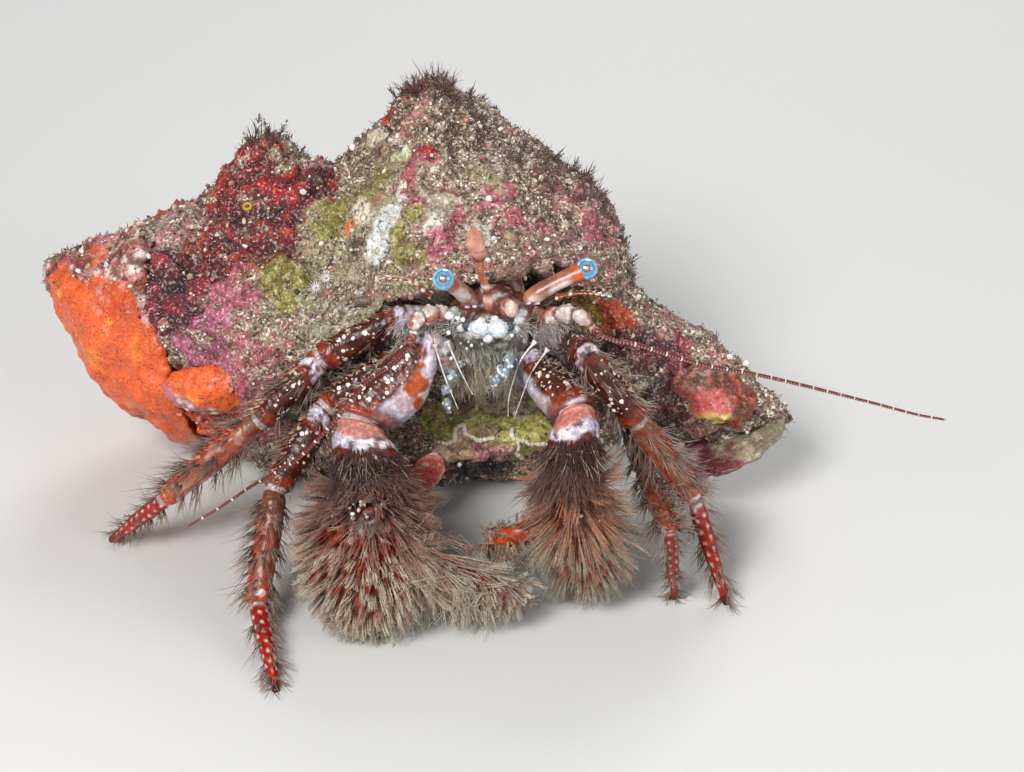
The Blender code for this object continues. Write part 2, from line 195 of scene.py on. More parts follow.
# meshes
def makePiece(name, points, faces, look, tint, marks=None, uv=None, smooth=True, replaces=()):
    mesh = bpy.data.meshes.new(name)
    points = np.asarray(points, float)
    mesh.vertices.add(len(points))
    mesh.vertices.foreach_set("co", (points * mm).ravel())
    groups = [np.asarray(g, int) for g in faces if len(g)]
    loops = np.concatenate([g.ravel() for g in groups])
    sizes = np.concatenate([np.full(len(g), g.shape[1]) for g in groups])
    mesh.loops.add(len(loops))
    mesh.loops.foreach_set("vertex_index", loops)
    mesh.polygons.add(len(sizes))
    mesh.polygons.foreach_set("loop_start", np.concatenate([[0], np.cumsum(sizes)[:-1]]))
    mesh.update(calc_edges=True)
    mesh.polygons.foreach_set("use_smooth", np.full(len(sizes), smooth))
    colours = np.ones((len(points), 4))
    colours[:, :3] = np.clip(tint, 0, 1)
    mesh.attributes.new("tint", "FLOAT_COLOR", "POINT").data.foreach_set("color", colours.ravel())
    for key, values in (marks or {}).items():
        mesh.attributes.new(key, "FLOAT", "POINT").data.foreach_set("value", np.asarray(values, float))
    if uv is not None:
        layer = mesh.uv_layers.new(name="OFBake")
        layer.data.foreach_set("uv", np.clip(uv, 0.002, 0.998)[loops].ravel())
    mesh.materials.append(look)
    piece = bpy.data.objects.new(name, mesh)
    scene.collection.objects.link(piece)
    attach(piece, "root")
    if replaces:
        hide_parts(*replaces)


class Bundle:  # many small shapes gathered into one mesh
    def __init__(self):
        self.points, self.quads, self.tris, self.tints, self.uvs, self.count = [], [], [], [], [], 0
        self.marks = {}

    def add(self, points, quads=(), tris=(), tint=(1, 1, 1), uv=None, **marks):
        points = np.asarray(points, float).reshape(-1, 3)
        if len(quads):
            self.quads.append(np.asarray(quads, int) + self.count)
        if len(tris):
            self.tris.append(np.asarray(tris, int) + self.count)
        self.points.append(points)
        self.tints.append(np.broadcast_to(np.asarray(tint, float), points.shape))
        if uv is not None:
            self.uvs.append(np.asarray(uv, float))
        for key, value in marks.items():
            self.marks.setdefault(key, []).append(np.broadcast_to(np.asarray(value, float), (len(points),)))
        self.count += len(points)

    def build(self, name, look, smooth=True, replaces=()):
        faces = [np.concatenate(g) for g in (self.quads, self.tris) if g]
        marks = {key: np.concatenate(v) for key, v in self.marks.items()}
        uv = np.concatenate(self.uvs) if self.uvs else None
        makePiece(name, np.concatenate(self.points), faces, look, np.concatenate(self.tints), marks,
                  uv, smooth, replaces)


def turnsRound(count):
    return fullTurn * np.arange(count) / count


def gridFaces(rows, around):  # quads over closed rings of corners
    i = np.arange(rows - 1)[:, None]
    j = np.arange(around)[None]
    k = (j + 1) % around
    quads = np.stack([i * around + j, i * around + k, (i + 1) * around + k, (i + 1) * around + j], -1)
    return quads.reshape(-1, 4)


def capFaces(ring, middle, turned=False):  # a fan that closes a ring
    fan = np.stack([ring, np.roll(ring, -1), np.full(len(ring), middle)], -1)
    return fan[:, ::-1] if turned else fan


def closedFaces(rows, around):  # quads, and the fans to the last two corners
    last = rows * around
    return gridFaces(rows, around), np.vstack([capFaces(np.arange(around), last, True),
                                               capFaces(np.arange(last - around, last), last + 1)])


def frameOf(along):  # sideways and upward directions for each direction
    along = np.atleast_2d(along)
    side = np.cross(along, [0, 0, 1.0])
    flat = np.linalg.norm(side, axis=1) < 0.05
    side[flat] = [1, 0, 0]
    side = unit(side)
    return side, unit(np.cross(side, along))


def spokes(side, up, turn):  # directions for turns between two directions
    return side * np.cos(turn)[..., None] + up * np.sin(turn)[..., None]


def flattened(grid):  # values on rings of corners as one list, with the two end corners added
    return np.concatenate([grid.reshape(-1, *grid.shape[2:]), grid[:1, 0], grid[-1:, 0]])


def addRings(bundle, rings, tint, **marks):  # a closed body over rings of corners
    points = np.vstack([rings.reshape(-1, 3), rings[0].mean(0), rings[-1].mean(0)])
    bundle.add(points, *closedFaces(*rings.shape[:2]), tint, **marks)


def addCopies(bundle, block, quads, tris, tints, uv=None, **marks):  # the same small shape many times
    count, size = block.shape[:2]
    starts = (np.arange(count) * size)[:, None, None]
    if len(quads):
        quads = (quads[None] + starts).reshape(-1, 4)
    bundle.add(block, quads, (tris[None] + starts).reshape(-1, 3), tints, uv, **marks)


def ballPoints(rows, around):  # a round body's corners, ring by ring, and then its two poles
    polar = np.linspace(0, np.pi, rows + 2)[1:-1, None]
    turn = turnsRound(around)[None]
    grid = np.stack([np.sin(polar) * np.cos(turn), np.sin(polar) * np.sin(turn), np.cos(polar) + 0 * turn],
                    -1)
    return np.vstack([grid.reshape(-1, 3), [0, 0, 1], [0, 0, -1]])


def addBall(bundle, middle, radii, tint, rows=12, around=18, spin=None, **marks):
    points = ballPoints(rows, around) * radii
    if spin is not None:
        points = points @ spin
    bundle.add(points + middle, *closedFaces(rows, around), tint, **marks)


def addSpikes(bundle, roots, ways, lengths, widths, tint, bend=0.0, around=6, **marks):
    roots, ways = np.asarray(roots, float), unit(ways)
    side, up = frameOf(ways)
    lengths = np.broadcast_to(lengths, (len(roots),))
    widths = np.broadcast_to(widths, (len(roots),))
    ring = spokes(side[:, None], up[:, None], turnsRound(around)[None])
    rings = []
    for share, wide in ((-0.1, 1.0), (0.25, 0.78), (0.6, 0.42), (0.88, 0.16)):
        centre = roots + ways * (share * lengths)[:, None] + up * (bend * share ** 2 * lengths)[:, None]
        rings.append(centre[:, None] + ring * (wide * widths)[:, None, None])
    tip = roots + ways * lengths[:, None] + up * (bend * lengths)[:, None]
    block = np.concatenate([*rings, tip[:, None]], 1)
    rows = len(rings)
    tips = capFaces(np.arange((rows - 1) * around, rows * around), rows * around)
    tint = np.asarray(tint, float)
    tints = np.repeat(tint, block.shape[1], 0) if tint.ndim == 2 else tint
    addCopies(bundle, block, gridFaces(rows, around), tips, tints, **marks)


def smoothPath(points, count):  # a smooth curve through the points, evenly spaced
    points = np.asarray(points, float)
    ends = np.vstack([2 * points[0] - points[1], points, 2 * points[-1] - points[-2]])
    fine = []
    for i in range(len(points) - 1):
        a, b, c, d = ends[i:i + 4]
        t = np.linspace(0, 1, 24, endpoint=False)[:, None]
        fine.append(0.5 * (2 * b + (c - a) * t + (2 * a - 5 * b + 4 * c - d) * t * t
                           + (3 * b - a - 3 * c + d) * t ** 3))
    fine = np.vstack(fine + [points[-1:]])
    steps = np.concatenate([[0], np.cumsum(np.linalg.norm(np.diff(fine, axis=0), axis=1))])
    at = np.linspace(0, steps[-1], count)
    return np.stack([np.interp(at, steps, fine[:, k]) for k in range(3)], -1)


def tubeRings(path, radii, count, squash=1.0):  # rings along a path without twisting
    path = np.asarray(path, float)
    along = unit(np.gradient(path, axis=0))
    side = np.zeros_like(path)
    side[0] = frameOf(along[0])[0][0]
    for i in range(1, len(path)):
        side[i] = unit(side[i - 1] - along[i] * np.dot(side[i - 1], along[i]))
    up = np.cross(side, along)
    turn = turnsRound(count)
    radii = np.broadcast_to(np.asarray(radii, float), (len(path),))
    across, high = np.cos(turn)[None, :, None], np.sin(turn)[None, :, None] * squash
    out = side[:, None] * across + up[:, None] * high
    return path[:, None] + out * radii[:, None, None], unit(out)


def addTube(bundle, path, radii, count=8, tint=(1, 1, 1), bumps=None, squash=1.0, **marks):
    rings, out = tubeRings(path, radii, count, squash)
    if bumps is not None:
        rings = rings + out * bumps(rings)[..., None]
    tint = np.asarray(tint, float)
    if tint.ndim == 2:
        tint = np.vstack([np.repeat(tint, count, 0), tint[0], tint[-1]])
    if tint.ndim == 3:
        tint = np.vstack([tint.reshape(-1, 3), tint[0].mean(0), tint[-1].mean(0)])
    addRings(bundle, rings, tint, **marks)


# materials
class Value:  # a shader socket that can be used in sums
    def __init__(self, look, socket):
        self.look, self.socket = look, socket

    def __add__(self, other):
        return self.look.maths("ADD", self, other)

    def __sub__(self, other):
        return self.look.maths("SUBTRACT", self, other)

    def __rsub__(self, other):
        return self.look.maths("SUBTRACT", other, self)

    def __mul__(self, other):
        return self.look.maths("MULTIPLY", self, other)

    __radd__, __rmul__ = __add__, __mul__


class Look:  # one material
    def __init__(self, name, **shader):
        self.material = bpy.data.materials.new(name)
        self.material.use_nodes = True
        self.nodes = self.material.node_tree.nodes
        self.links = self.material.node_tree.links
        self.shader = self.nodes["Principled BSDF"]
        for key, value in shader.items():
            self.shader.inputs[key.replace("_", " ")].default_value = value

    def node(self, kind, settings=None, sockets=None, out=0):
        made = self.nodes.new("ShaderNode" + kind)
        for key, value in (settings or {}).items():
            if key == "stops":
                ramp = made.color_ramp.elements
                while len(ramp) < len(value):
                    ramp.new(0.5)
                for stop, (place, colour) in zip(ramp, value):
                    stop.position = place
                    stop.color = (*colour, 1)
            else:
                setattr(made, key, value)
        for key, value in (sockets or {}).items():
            self.plug(made.inputs[key], value)
        return Value(self, made.outputs[out])

    def plug(self, socket, value):
        if isinstance(value, Value):
            self.links.new(value.socket, socket)
        elif socket.type == "RGBA":
            socket.default_value = (*value, 1)
        else:
            socket.default_value = value

    def maths(self, operation, a, b):
        return self.node("Math", {"operation": operation}, {0: a, 1: b})

    def mark(self, name):  # a number painted on the mesh
        return self.node("Attribute", {"attribute_name": name}, out=2)

    def tint(self):  # the colour painted on the mesh
        return self.node("Attribute", {"attribute_name": "tint"})

    def scaled(self, place, share):
        return self.node("VectorMath", {"operation": "SCALE"}, {0: place, "Scale": share})

    def place(self, size):  # where a point is, in units of `size` millimetres
        return self.scaled(self.node("TexCoord", out=3), 1 / (size * mm))

    def noise(self, size, detail=3.0, roughness=0.55):
        return self.node("TexNoise", None, {"Vector": self.place(size), "Scale": 1.0, "Detail": detail,
                                            "Roughness": roughness})

    def pebbles(self, size, out=0, where=None):
        spot = {"Vector": where or self.place(size), "Scale": 1.0}
        return self.node("TexVoronoi", {"feature": "F1"}, spot, out)

    def ramp(self, value, *stops):
        return self.node("ValToRGB", {"stops": stops}, {0: value})

    def mix(self, a, b, share, kind="MIX"):
        return self.node("Mix", {"data_type": "RGBA", "blend_type": kind, "clamp_factor": True},
                         {0: share, 6: a, 7: b}, 2)

    def fade(self, value, low, high):  # 0 below low, 1 above high
        return self.node("MapRange", {"interpolation_type": "SMOOTHSTEP"}, {0: value, 1: low, 2: high})

    def wear(self, colour, roughness=None, height=None, depth=0.1):
        inputs = self.shader.inputs
        self.plug(inputs["Base Color"], colour)
        if roughness is not None:
            self.plug(inputs["Roughness"], roughness)
        if height is not None:
            bump = self.node("Bump", None, {"Height": height, "Strength": 1.0, "Distance": depth * mm})
            self.links.new(bump.socket, inputs["Normal"])
        return self.material


# floor, lamps and camera
studio = dict(floor=(0.62, 0.61, 0.59), sky=(0.86, 0.92, 1.0, 1), world=0.26, aim=(0, 0, 0.015), lamps={
    "key": ((-160, -330, 330), 170, 2.6),  # place, size and power
    "fill": ((300, -220, 180), 220, 0.6),
    "rim": ((60, 330, 300), 200, 0.9)})
view = dict(fromEyes=(-0.35, 6.65, -15.99), above=30, distance=230, lens=80.86, clip=0.005)


def facing(thing, aim):  # turns a lamp or the camera to a point
    thing.rotation_euler = (aim - thing.location).to_track_quat("-Z", "Y").to_euler()
    scene.collection.objects.link(thing)


def makeStudio():
    eyes = (nodeMiddle("cornea_left") + nodeMiddle("cornea_right")) / 2
    aim = Vector(eyes + view["fromEyes"]) * mm
    tilt = math.radians(view["above"])
    camera = bpy.data.objects.new("camera", bpy.data.cameras.new("camera"))
    camera.data.lens = view["lens"]
    camera.data.clip_start = view["clip"]
    camera.location = aim + Vector((0, -math.cos(tilt), math.sin(tilt))) * view["distance"] * mm
    facing(camera, aim)
    scene.camera = camera

    ground = Look("floor", Roughness=0.9)
    ground.wear(ground.mix(studio["floor"], tuple(0.97 * c for c in studio["floor"]), ground.noise(0.6, 2)))
    bpy.ops.mesh.primitive_plane_add(size=3, location=(0, 0, 0))
    floor = bpy.context.object
    floor.name = "floor"
    floor.data.materials.append(ground.material)

    world = bpy.data.worlds.new("studio")
    world.use_nodes = True
    world.node_tree.nodes["Background"].inputs["Color"].default_value = studio["sky"]
    world.node_tree.nodes["Background"].inputs["Strength"].default_value = studio["world"]
    scene.world = world
    for name, (place, size, power) in studio["lamps"].items():
        lamp = bpy.data.objects.new(name, bpy.data.lights.new(name, "AREA"))
        lamp.data.size = size * mm
        lamp.data.energy = power
        lamp.location = Vector(place) * mm
        facing(lamp, Vector(studio["aim"]))
    scene.view_settings.view_transform = "Standard"


makeStudio()
print("studio ready")


# the shell and what grows on it
shellLow, shellHigh = nodeBox("shell")
shellAxis = np.array([(shellLow[1] + shellHigh[1]) / 2, 17.0])  # its y and z
mouthLow, mouthHigh = (np.array(c) / mm for c in frame["record"]["physics"]["openings"][0]["box_m"])
mouthFloor = np.array([*((mouthLow + mouthHigh) / 2)[:2], mouthLow[2]])
shellTree = nodeTree("shell", "sponge_cap")


def onShell(along, turn, reach=60.0):  # a point of the outside, and the way out of it
    x = shellLow[0] + along * (shellHigh[0] - shellLow[0])
    turn = math.radians(turn)  # 0 degrees is the shell's top, 90 its front
    way = np.array([0, -math.sin(turn), math.cos(turn)])
    start = Vector((x, *shellAxis)) + Vector(way) * reach
    hit, normal, _, _ = shellTree.ray_cast(start, -Vector(way))
    return (np.array(hit), np.array(normal)) if hit else (None, None)


def shellUnwrap(points):  # the shell's own unwrap: along it and round it
    along = (points[:, 0] - packedBox[0][0] / mm) / 80
    turn = np.arctan2(-(points[:, 1] - shellAxis[0]), points[:, 2] - shellAxis[1])
    return np.stack([np.clip(along, 0, 1), turn / fullTurn + 0.5], -1)


wine, blood, scarlet, rust = rgb(120, 20, 34), rgb(150, 22, 28), rgb(184, 30, 24), rgb(196, 74, 36)
coral, rose, mauve, plum = rgb(192, 100, 114), rgb(172, 84, 92), rgb(178, 92, 120), rgb(150, 96, 100)
olive, moss, lime, limeLight = rgb(148, 138, 60), rgb(108, 98, 48), rgb(196, 188, 92), rgb(204, 196, 96)
chalk, cream, bone = rgb(236, 240, 236), rgb(226, 214, 186), rgb(196, 182, 146)
crust = dict(
    voxel=0.34, lump=0.62, knob=0.82, pebble=0.22, groove=0.45, fine=0.26, end=0.55,
    silt=rgb(116, 100, 88), khaki=rgb(150, 140, 92), edge=0.35, rough=0.74, wet=0.32, grain=0.21,
    lining=(rgb(150, 136, 106), rgb(186, 174, 140)),
    zones=[  # place, reach, colour, silt and lobes; a place is (share along, degrees
        # round) on the shell, or (x, y, z) from the floor of its mouth
        ((0.30, -60), 12, rgb(120, 96, 84), 0.5, 0), ((0.10, -70), 10, wine, 0.3, 1),
        ((0.50, -35), 6, coral, 0.34, 0), ((0.66, -40), 7, wine, 0.3, 1),
        ((0.36, -30), 5, rgb(154, 144, 100), 0.32, 0), ((0.20, -40), 7, blood, 0.28, 1),
        ((0.05, -40), 4, rust, 0.2, 0.5), ((0.05, -85), 5, rust, 0.2, 0.5),
        ((0.86, -50), 5, plum, 0.34, 0), ((0.62, -80), 9, rose, 0.34, 0),
        ((0.45, -100), 8, mauve, 0.34, 0), ((0.25, -120), 8, moss, 0.32, 0),
        ((0.06, 45), 6.5, wine, 0.25, 1), ((0.12, 62), 6.0, wine, 0.2, 1),
        ((0.17, 36), 7.5, blood, 0.25, 1), ((0.24, 20), 5.5, blood, 0.28, 1),
        ((0.14, 6), 6.0, blood, 0.3, 1), ((0.02, 5), 5.0, rgb(190, 132, 134), 0.38, 0),
        ((0.13, 12), 2.4, scarlet, 0.1, 1), ((0.244, 16), 2.2, scarlet, 0.1, 1),
        ((0.085, 28), 1.5, rgb(190, 74, 34), 0.25, 1), ((0.19, 48), 1.6, blood, 0.3, 1),
        ((0.16, 66), 4.2, coral, 0.32, 0), ((0.14, 84), 5.0, mauve, 0.3, 0),
        ((0.20, 82), 4.6, coral, 0.32, 0), ((0.23, 100), 6.0, rose, 0.33, 0),
        ((0.10, 112), 5.5, rust, 0.2, 0.5), ((0.06, 128), 6.5, rgb(214, 74, 26), 0.05, 0.5),
        ((0.27, 66), 5.2, rgb(150, 142, 116), 0.4, 0), ((0.245, 56), 3.0, olive, 0.22, 0),
        ((0.215, 52), 2.4, olive, 0.2, 0), ((0.33, 66), 4.6, rgb(160, 152, 122), 0.34, 0),
        ((0.27, 82), 2.4, rgb(158, 146, 96), 0.4, 0), ((0.37, 36), 8.0, rgb(164, 152, 112), 0.3, 0),
        ((0.306, 24), 1.7, olive, 0.1, 0), ((0.300, 32), 1.7, olive, 0.1, 0),
        ((0.359, 23), 2.8, rgb(140, 128, 70), 0.3, 0), ((0.352, 54), 3.6, rgb(164, 146, 122), 0.42, 0),
        ((0.428, 35), 1.8, olive, 0.28, 0), ((0.418, 47), 2.2, olive, 0.3, 0),
        ((0.44, 42), 1.6, moss, 0.3, 0), ((0.414, 30), 1.0, chalk, 0.05, 0),
        ((0.400, 35), 1.1, chalk, 0.05, 0), ((0.386, 39), 1.3, chalk, 0.05, 0),
        ((0.374, 43), 1.3, chalk, 0.05, 0), ((0.369, 47), 1.2, chalk, 0.05, 0),
        ((0.355, 33), 1.3, cream, 0.05, 0), ((0.332, 36), 0.7, rgb(230, 110, 40), 0, 0),
        ((0.432, 22), 2.4, rose, 0.27, 0), ((0.445, 28), 2.4, rose, 0.27, 0),
        ((0.50, 30), 4.6, rgb(170, 142, 122), 0.44, 0), ((0.45, 18), 0.9, scarlet, 0.1, 0),
        ((0.472, 39), 2.1, rose, 0.27, 0), ((0.462, 33), 1.7, rgb(190, 176, 150), 0.3, 0),
        ((0.452, 40), 1.6, rgb(210, 202, 184), 0.3, 0), ((0.462, 46), 1.8, coral, 0.2, 0),
        ((0.546, 31), 2.2, coral, 0.28, 0), ((0.524, 24), 2.2, rgb(160, 146, 108), 0.3, 0),
        ((0.515, 44), 1.6, rgb(196, 188, 168), 0.3, 0), ((0.565, 38), 2.2, rose, 0.28, 0),
        ((0.637, 21), 2.0, rose, 0.3, 0), ((0.61, 40), 1.8, coral, 0.2, 0),
        ((0.59, 51), 4.0, rgb(158, 120, 102), 0.33, 0), ((0.545, 56), 1.8, rose, 0.2, 0),
        ((0.67, 44), 3.2, plum, 0.33, 0), ((0.69, 32), 1.8, rose, 0.3, 0),
        ((0.366, 3), 1.5, cream, 0, 0), ((0.409, 15), 1.2, rgb(206, 210, 160), 0, 0),
        ((0.384, 0), 1.3, scarlet, 0.1, 0), ((0.421, -2), 1.6, blood, 0.2, 0),
        ((0.683, 66), 3.2, rgb(146, 112, 24), 0.05, 0), ((0.722, 72), 2.6, rgb(208, 84, 36), 0.05, 0),
        ((0.757, 84), 3.2, rgb(126, 28, 50), 0.28, 0.6), ((0.80, 96), 4.0, rgb(130, 30, 44), 0.28, 0.6),
        ((0.77, 108), 4.6, rgb(98, 26, 30), 0.28, 0.6),
        ((-5.4, 1.8, -2.2), 2.6, lime, 0.24, 0), ((-2.6, 2.2, -2.4), 2.8, limeLight, 0.22, 0),
        ((0.6, 2.4, -2.2), 2.8, rgb(184, 176, 96), 0.27, 0), ((3.4, 2.2, -2.4), 2.9, limeLight, 0.22, 0),
        ((5.0, 1.6, -5.2), 2.6, rgb(208, 200, 104), 0.2, 0), ((-3.2, 5.6, -1.6), 2.6, bone, 0.05, 0),
        ((0.4, 5.8, -1.6), 2.6, rgb(192, 178, 142), 0.05, 0), ((3.8, 5.6, -1.8), 2.4, bone, 0.05, 0),
        ((-3.4, -0.6, -3.6), 2.7, rgb(188, 154, 120), 0.12, 0),
        ((-0.7, -0.6, -3.8), 2.0, rgb(192, 122, 118), 0.05, 0),
        ((1.4, -0.4, -4.2), 1.7, rgb(184, 130, 120), 0.1, 0), ((3.6, 0.2, -4.6), 1.8, lime, 0.1, 0),
        # the near-black patch below the lip is painted shadow of the gap beneath the shell
        ((-1.0, 1.4, -7.2), 4.2, rgb(40, 26, 24), 0.12, 0)])


def paintZones(points):  # colour, silt share and lobes for points of the shell
    patch = cells(points + waves(points, 2.2, 34)[:, None] * 1.2, 4.6, 36)[2]
    colour = layered(crust["silt"], (rose, step(patch, 0.30, 0.34)), (wine, step(patch, 0.55, 0.59)),
                     (crust["khaki"], step(patch, 0.76, 0.80)))
    silt = 0.66 + 0.34 * step(waves(points, 3.2, 38, 2), -0.35, 0.25)
    silt = silt - 0.30 * step(waves(points, 2.0, 40, 2), 0.15, 0.5)
    lobes = np.zeros(len(points))
    wobble = waves(points, 1.1, 7, 3) * 0.5
    moved = points
    for size, rough, share, seeds in ((2.4, 3, 1.35, (14, 20, 26)), (0.8, 2, 0.55, (15, 21, 27))):
        moved = moved + np.stack([waves(points, size, k, rough) for k in seeds], -1) * share
    for at, reach, tone, dust, knobs in crust["zones"]:
        spot = mouthFloor + at if len(at) == 3 else onShell(*at)[0]
        stir = min(1.0, reach / 3.5)
        away = np.linalg.norm(points + (moved - points) * stir - spot, axis=1) - wobble * stir
        inside = 1 - step(away, reach - crust["edge"], reach + crust["edge"])
        colour = blend(colour, tone, inside)
        silt = silt + (dust - silt) * inside
        lobes = lobes + (knobs - lobes) * inside
    return colour, silt, lobes


def remeshed(names, voxel, smoothing=2, swell=0.0):  # some nodes as one fine, even body
    corners, faces = nodeMesh(names, 1)
    mesh = bpy.data.meshes.new("copy")
    mesh.from_pydata(corners, [], faces)
    copy = bpy.data.objects.new("copy", mesh)
    scene.collection.objects.link(copy)
    for kind, settings in (("WELD", dict(merge_threshold=0.01 * mm)),
                           ("DISPLACE", dict(strength=swell * mm, mid_level=0)),
                           ("REMESH", dict(mode="VOXEL", voxel_size=voxel * mm)),
                           ("SMOOTH", dict(iterations=smoothing, factor=0.5))):
        modifier = copy.modifiers.new(kind, kind)
        for key, value in settings.items():
            setattr(modifier, key, value)
    made = copy.evaluated_get(bpy.context.evaluated_depsgraph_get()).to_mesh()
    points, normals = np.empty(len(made.vertices) * 3), np.empty(len(made.vertices) * 3)
    made.vertices.foreach_get("co", points)
    made.vertices.foreach_get("normal", normals)
    quads = np.empty(len(made.polygons) * 4, int)
    made.polygons.foreach_get("vertices", quads)
    bpy.data.objects.remove(copy)
    normals = normals.reshape(-1, 3)
    return points.reshape(-1, 3) / mm - normals * swell, normals, quads.reshape(-1, 4)


def crustLook(name):
    look = Look(name, Coat_Roughness=0.22, Coat_Weight=crust["wet"])
    tint, silt, inside = look.tint(), look.mark("silt"), look.mark("inside")
    number = look.node("SeparateColor", None, {0: look.pebbles(crust["grain"], 1)})
    grain = look.ramp(number, (0.0, rgb(72, 56, 50)), (0.18, rgb(112, 92, 80)), (0.45, rgb(146, 128, 110)),
                      (0.70, rgb(170, 154, 134)), (0.86, rgb(206, 194, 176)), (0.94, rgb(246, 242, 236)))
    patch = look.ramp(look.noise(1.7, 6, 0.66), (0.36, rgb(84, 60, 56)), (0.45, rgb(186, 164, 150)),
                      (0.54, rgb(255, 250, 238)), (0.66, rgb(214, 196, 160)))
    grain = look.mix(grain, patch, 0.85, "MULTIPLY")
    ribbon = look.noise(2.3, 5, 0.6)  # thin ribbons of pink crust
    ribbon = look.fade(ribbon, 0.47, 0.50) * (1 - look.fade(ribbon, 0.53, 0.57))
    grain = look.mix(grain, rgb(182, 88, 102), ribbon * look.fade(look.noise(5.0, 2), 0.50, 0.60) * 0.6)
    drift = look.noise(2.1, 6, 0.66) * 0.8 + look.noise(0.4, 3, 0.6) * 0.2
    dust = look.fade(drift + silt * 0.74 - 0.25, 0.46, 0.55)
    dark = look.mix(rgb(64, 34, 34), (1, 1, 1), look.fade(look.noise(0.6, 5, 0.7), 0.3, 0.62))
    shade = look.mix(tint, dark, 0.78, "MULTIPLY")
    frosted = look.mix(tint, rgb(244, 232, 226), 0.6)
    shade = look.mix(shade, frosted, look.fade(look.noise(0.3, 3, 0.6), 0.55, 0.68) * 0.7)
    colour = look.mix(shade, grain, dust)
    # painted shade: the crust's sunken pits are darkened
    shadedPits = look.fade(look.noise(0.75, 5, 0.75), 0.43, 0.33)
    colour = look.mix(colour, rgb(34, 18, 18), shadedPits * (1 - inside) * 0.75)
    height = look.noise(0.8, 6, 0.72) + (1 - look.pebbles(crust["grain"])) * dust * 0.3 - shadedPits * 0.5
    roughness = look.fade(look.noise(0.9, 3), 0.2, 0.8) * 0.3 + (crust["rough"] - 0.2)
    return look.wear(colour, roughness, height, 0.2)


def makeShell():
    points, normals, quads = remeshed(["shell"], crust["voxel"])
    colour, silt, lobes = paintZones(points)
    offAxis = points[:, 1:] - shellAxis
    inside = step(points[:, 1], 1.5, 4) * (np.linalg.norm(offAxis, axis=1) < 13.5)
    inside = inside * near(points[:, 0], mouthFloor[0], 9)
    inside = inside * step(np.einsum("ij,ij->i", normals[:, 1:], offAxis), 1.0, -1.0)
    dull, bright = crust["lining"]
    colour = blend(colour, blend(dull, bright, step(waves(points, 2.5, 7, 3), 0, 0.8)), inside)
    first, second, number = cells(points + waves(points, 3, 9)[:, None] * 0.8, 2.6, 11)
    small = cells(points, 0.62, 21)[0]
    ridge = 1 - np.abs(waves(points, 2.4, 2, 3))
    rise = crust["lump"] * waves(points, 5.5, 1) + crust["knob"] * (ridge * 1.4 - 0.9)
    rise += crust["pebble"] * (0.5 - small) * (0.4 + silt) + crust["fine"] * waves(points, 1.1, 5, 3)
    rise += crust["end"] * step(points[:, 0], 17, 22) * waves(points, 2.2, 25, 2) * (points[:, 2] > 1)
    rise += lobes * (0.9 * (0.35 - first ** 2) - crust["groove"] * near(second - first, 0, 0.12))
    # painted shade in the sunken grooves between lobes
    colour = blend(colour, colour * 0.28, lobes * near(second - first, 0, 0.2))
    # some lobes painted brighter: partly their own lighter red, partly painted highlight
    colour = blend(colour, colour * [2.0, 1.7, 1.5], lobes * step(number, 0.5, 0.65)
                   * step(waves(points, 1.2, 13), -0.2, 0.4))
    colour = blend(colour, colour * [0.38, 0.42, 0.55], lobes * step(waves(points, 2.0, 15, 2), 0.0, 0.5))
    colour = blend(colour, rgb(206, 74, 40), lobes * step(waves(points, 1.5, 19, 2), 0.6, 0.9) * 0.6)
    # painted shade in the hollows between ridges
    colour = blend(colour, colour * 0.5, step(-ridge, -0.55, -0.2) * (1 - inside) * 0.6)
    points = points + normals * (rise * (1 - 0.85 * inside))[:, None]
    points[:, 2] = np.maximum(points[:, 2], 0)
    silt = silt * (1 - inside)
    makePiece("shell_crust", points, [quads], crustLook("shellCrust"), colour,
              {"silt": silt, "inside": inside}, replaces=["shell"])
    print("crust faces", len(quads))
    return points, normals, silt


shellSkin = makeShell()
print("shell ready")


# legs and arms
chestnut, maroon, umber = rgb(84, 32, 20), rgb(46, 14, 12), rgb(116, 62, 34)
milk, lilac, flame = rgb(246, 238, 240), rgb(206, 202, 226), rgb(176, 64, 34)
tan, brick, redToe = rgb(170, 104, 78), rgb(150, 50, 30), rgb(178, 30, 12)


def turnTo(way, side, up):  # the turn, from a side direction toward an up one, that faces a way
    return math.atan2(up @ np.asarray(way, float), side @ np.asarray(way, float))


class Segment:  # one segment of a limb, between the planes that halve its two bends
    shares = (0.12, 0.3, 0.5, 0.7, 0.88)  # where its node is measured

    def __init__(self, node, start, end, first, last):
        self.node, self.start, self.end, self.first, self.last = node, start, end, first, last
        self.along = unit(end - start)
        self.length = np.linalg.norm(end - start)
        side, up = frameOf(self.along)
        self.side, self.up = side[0], up[0]
        tree = nodeTree(node)
        spots = [start + (end - start) * t for t in self.shares]
        self.half = np.array([[self.span(tree, p, self.side), self.span(tree, p, self.up)] for p in spots])

    def span(self, tree, spot, way):
        hits = [tree.ray_cast(Vector(spot), Vector(way * s))[3] for s in (1, -1)]
        return np.mean([h for h in hits if h is not None] or [1.0])

    def at(self, t, turn, grow=1.0):  # corners for shares along and turns round
        t, turn = np.broadcast_arrays(np.asarray(t, float), np.asarray(turn, float))
        wide = np.interp(t, self.shares, self.half[:, 0]) * grow
        high = np.interp(t, self.shares, self.half[:, 1]) * grow
        off = self.side * (np.cos(turn) * wide)[..., None] + self.up * (np.sin(turn) * high)[..., None]
        close = -(off @ self.first) / (self.along @ self.first)
        far = self.length - (off @ self.last) / (self.along @ self.last)
        return self.start + off + self.along * (close + t * (far - close))[..., None]

    def outOf(self, turn):
        return spokes(self.side, self.up, np.asarray(turn, float))

    def turnTo(self, way):
        return turnTo(way, self.side, self.up)


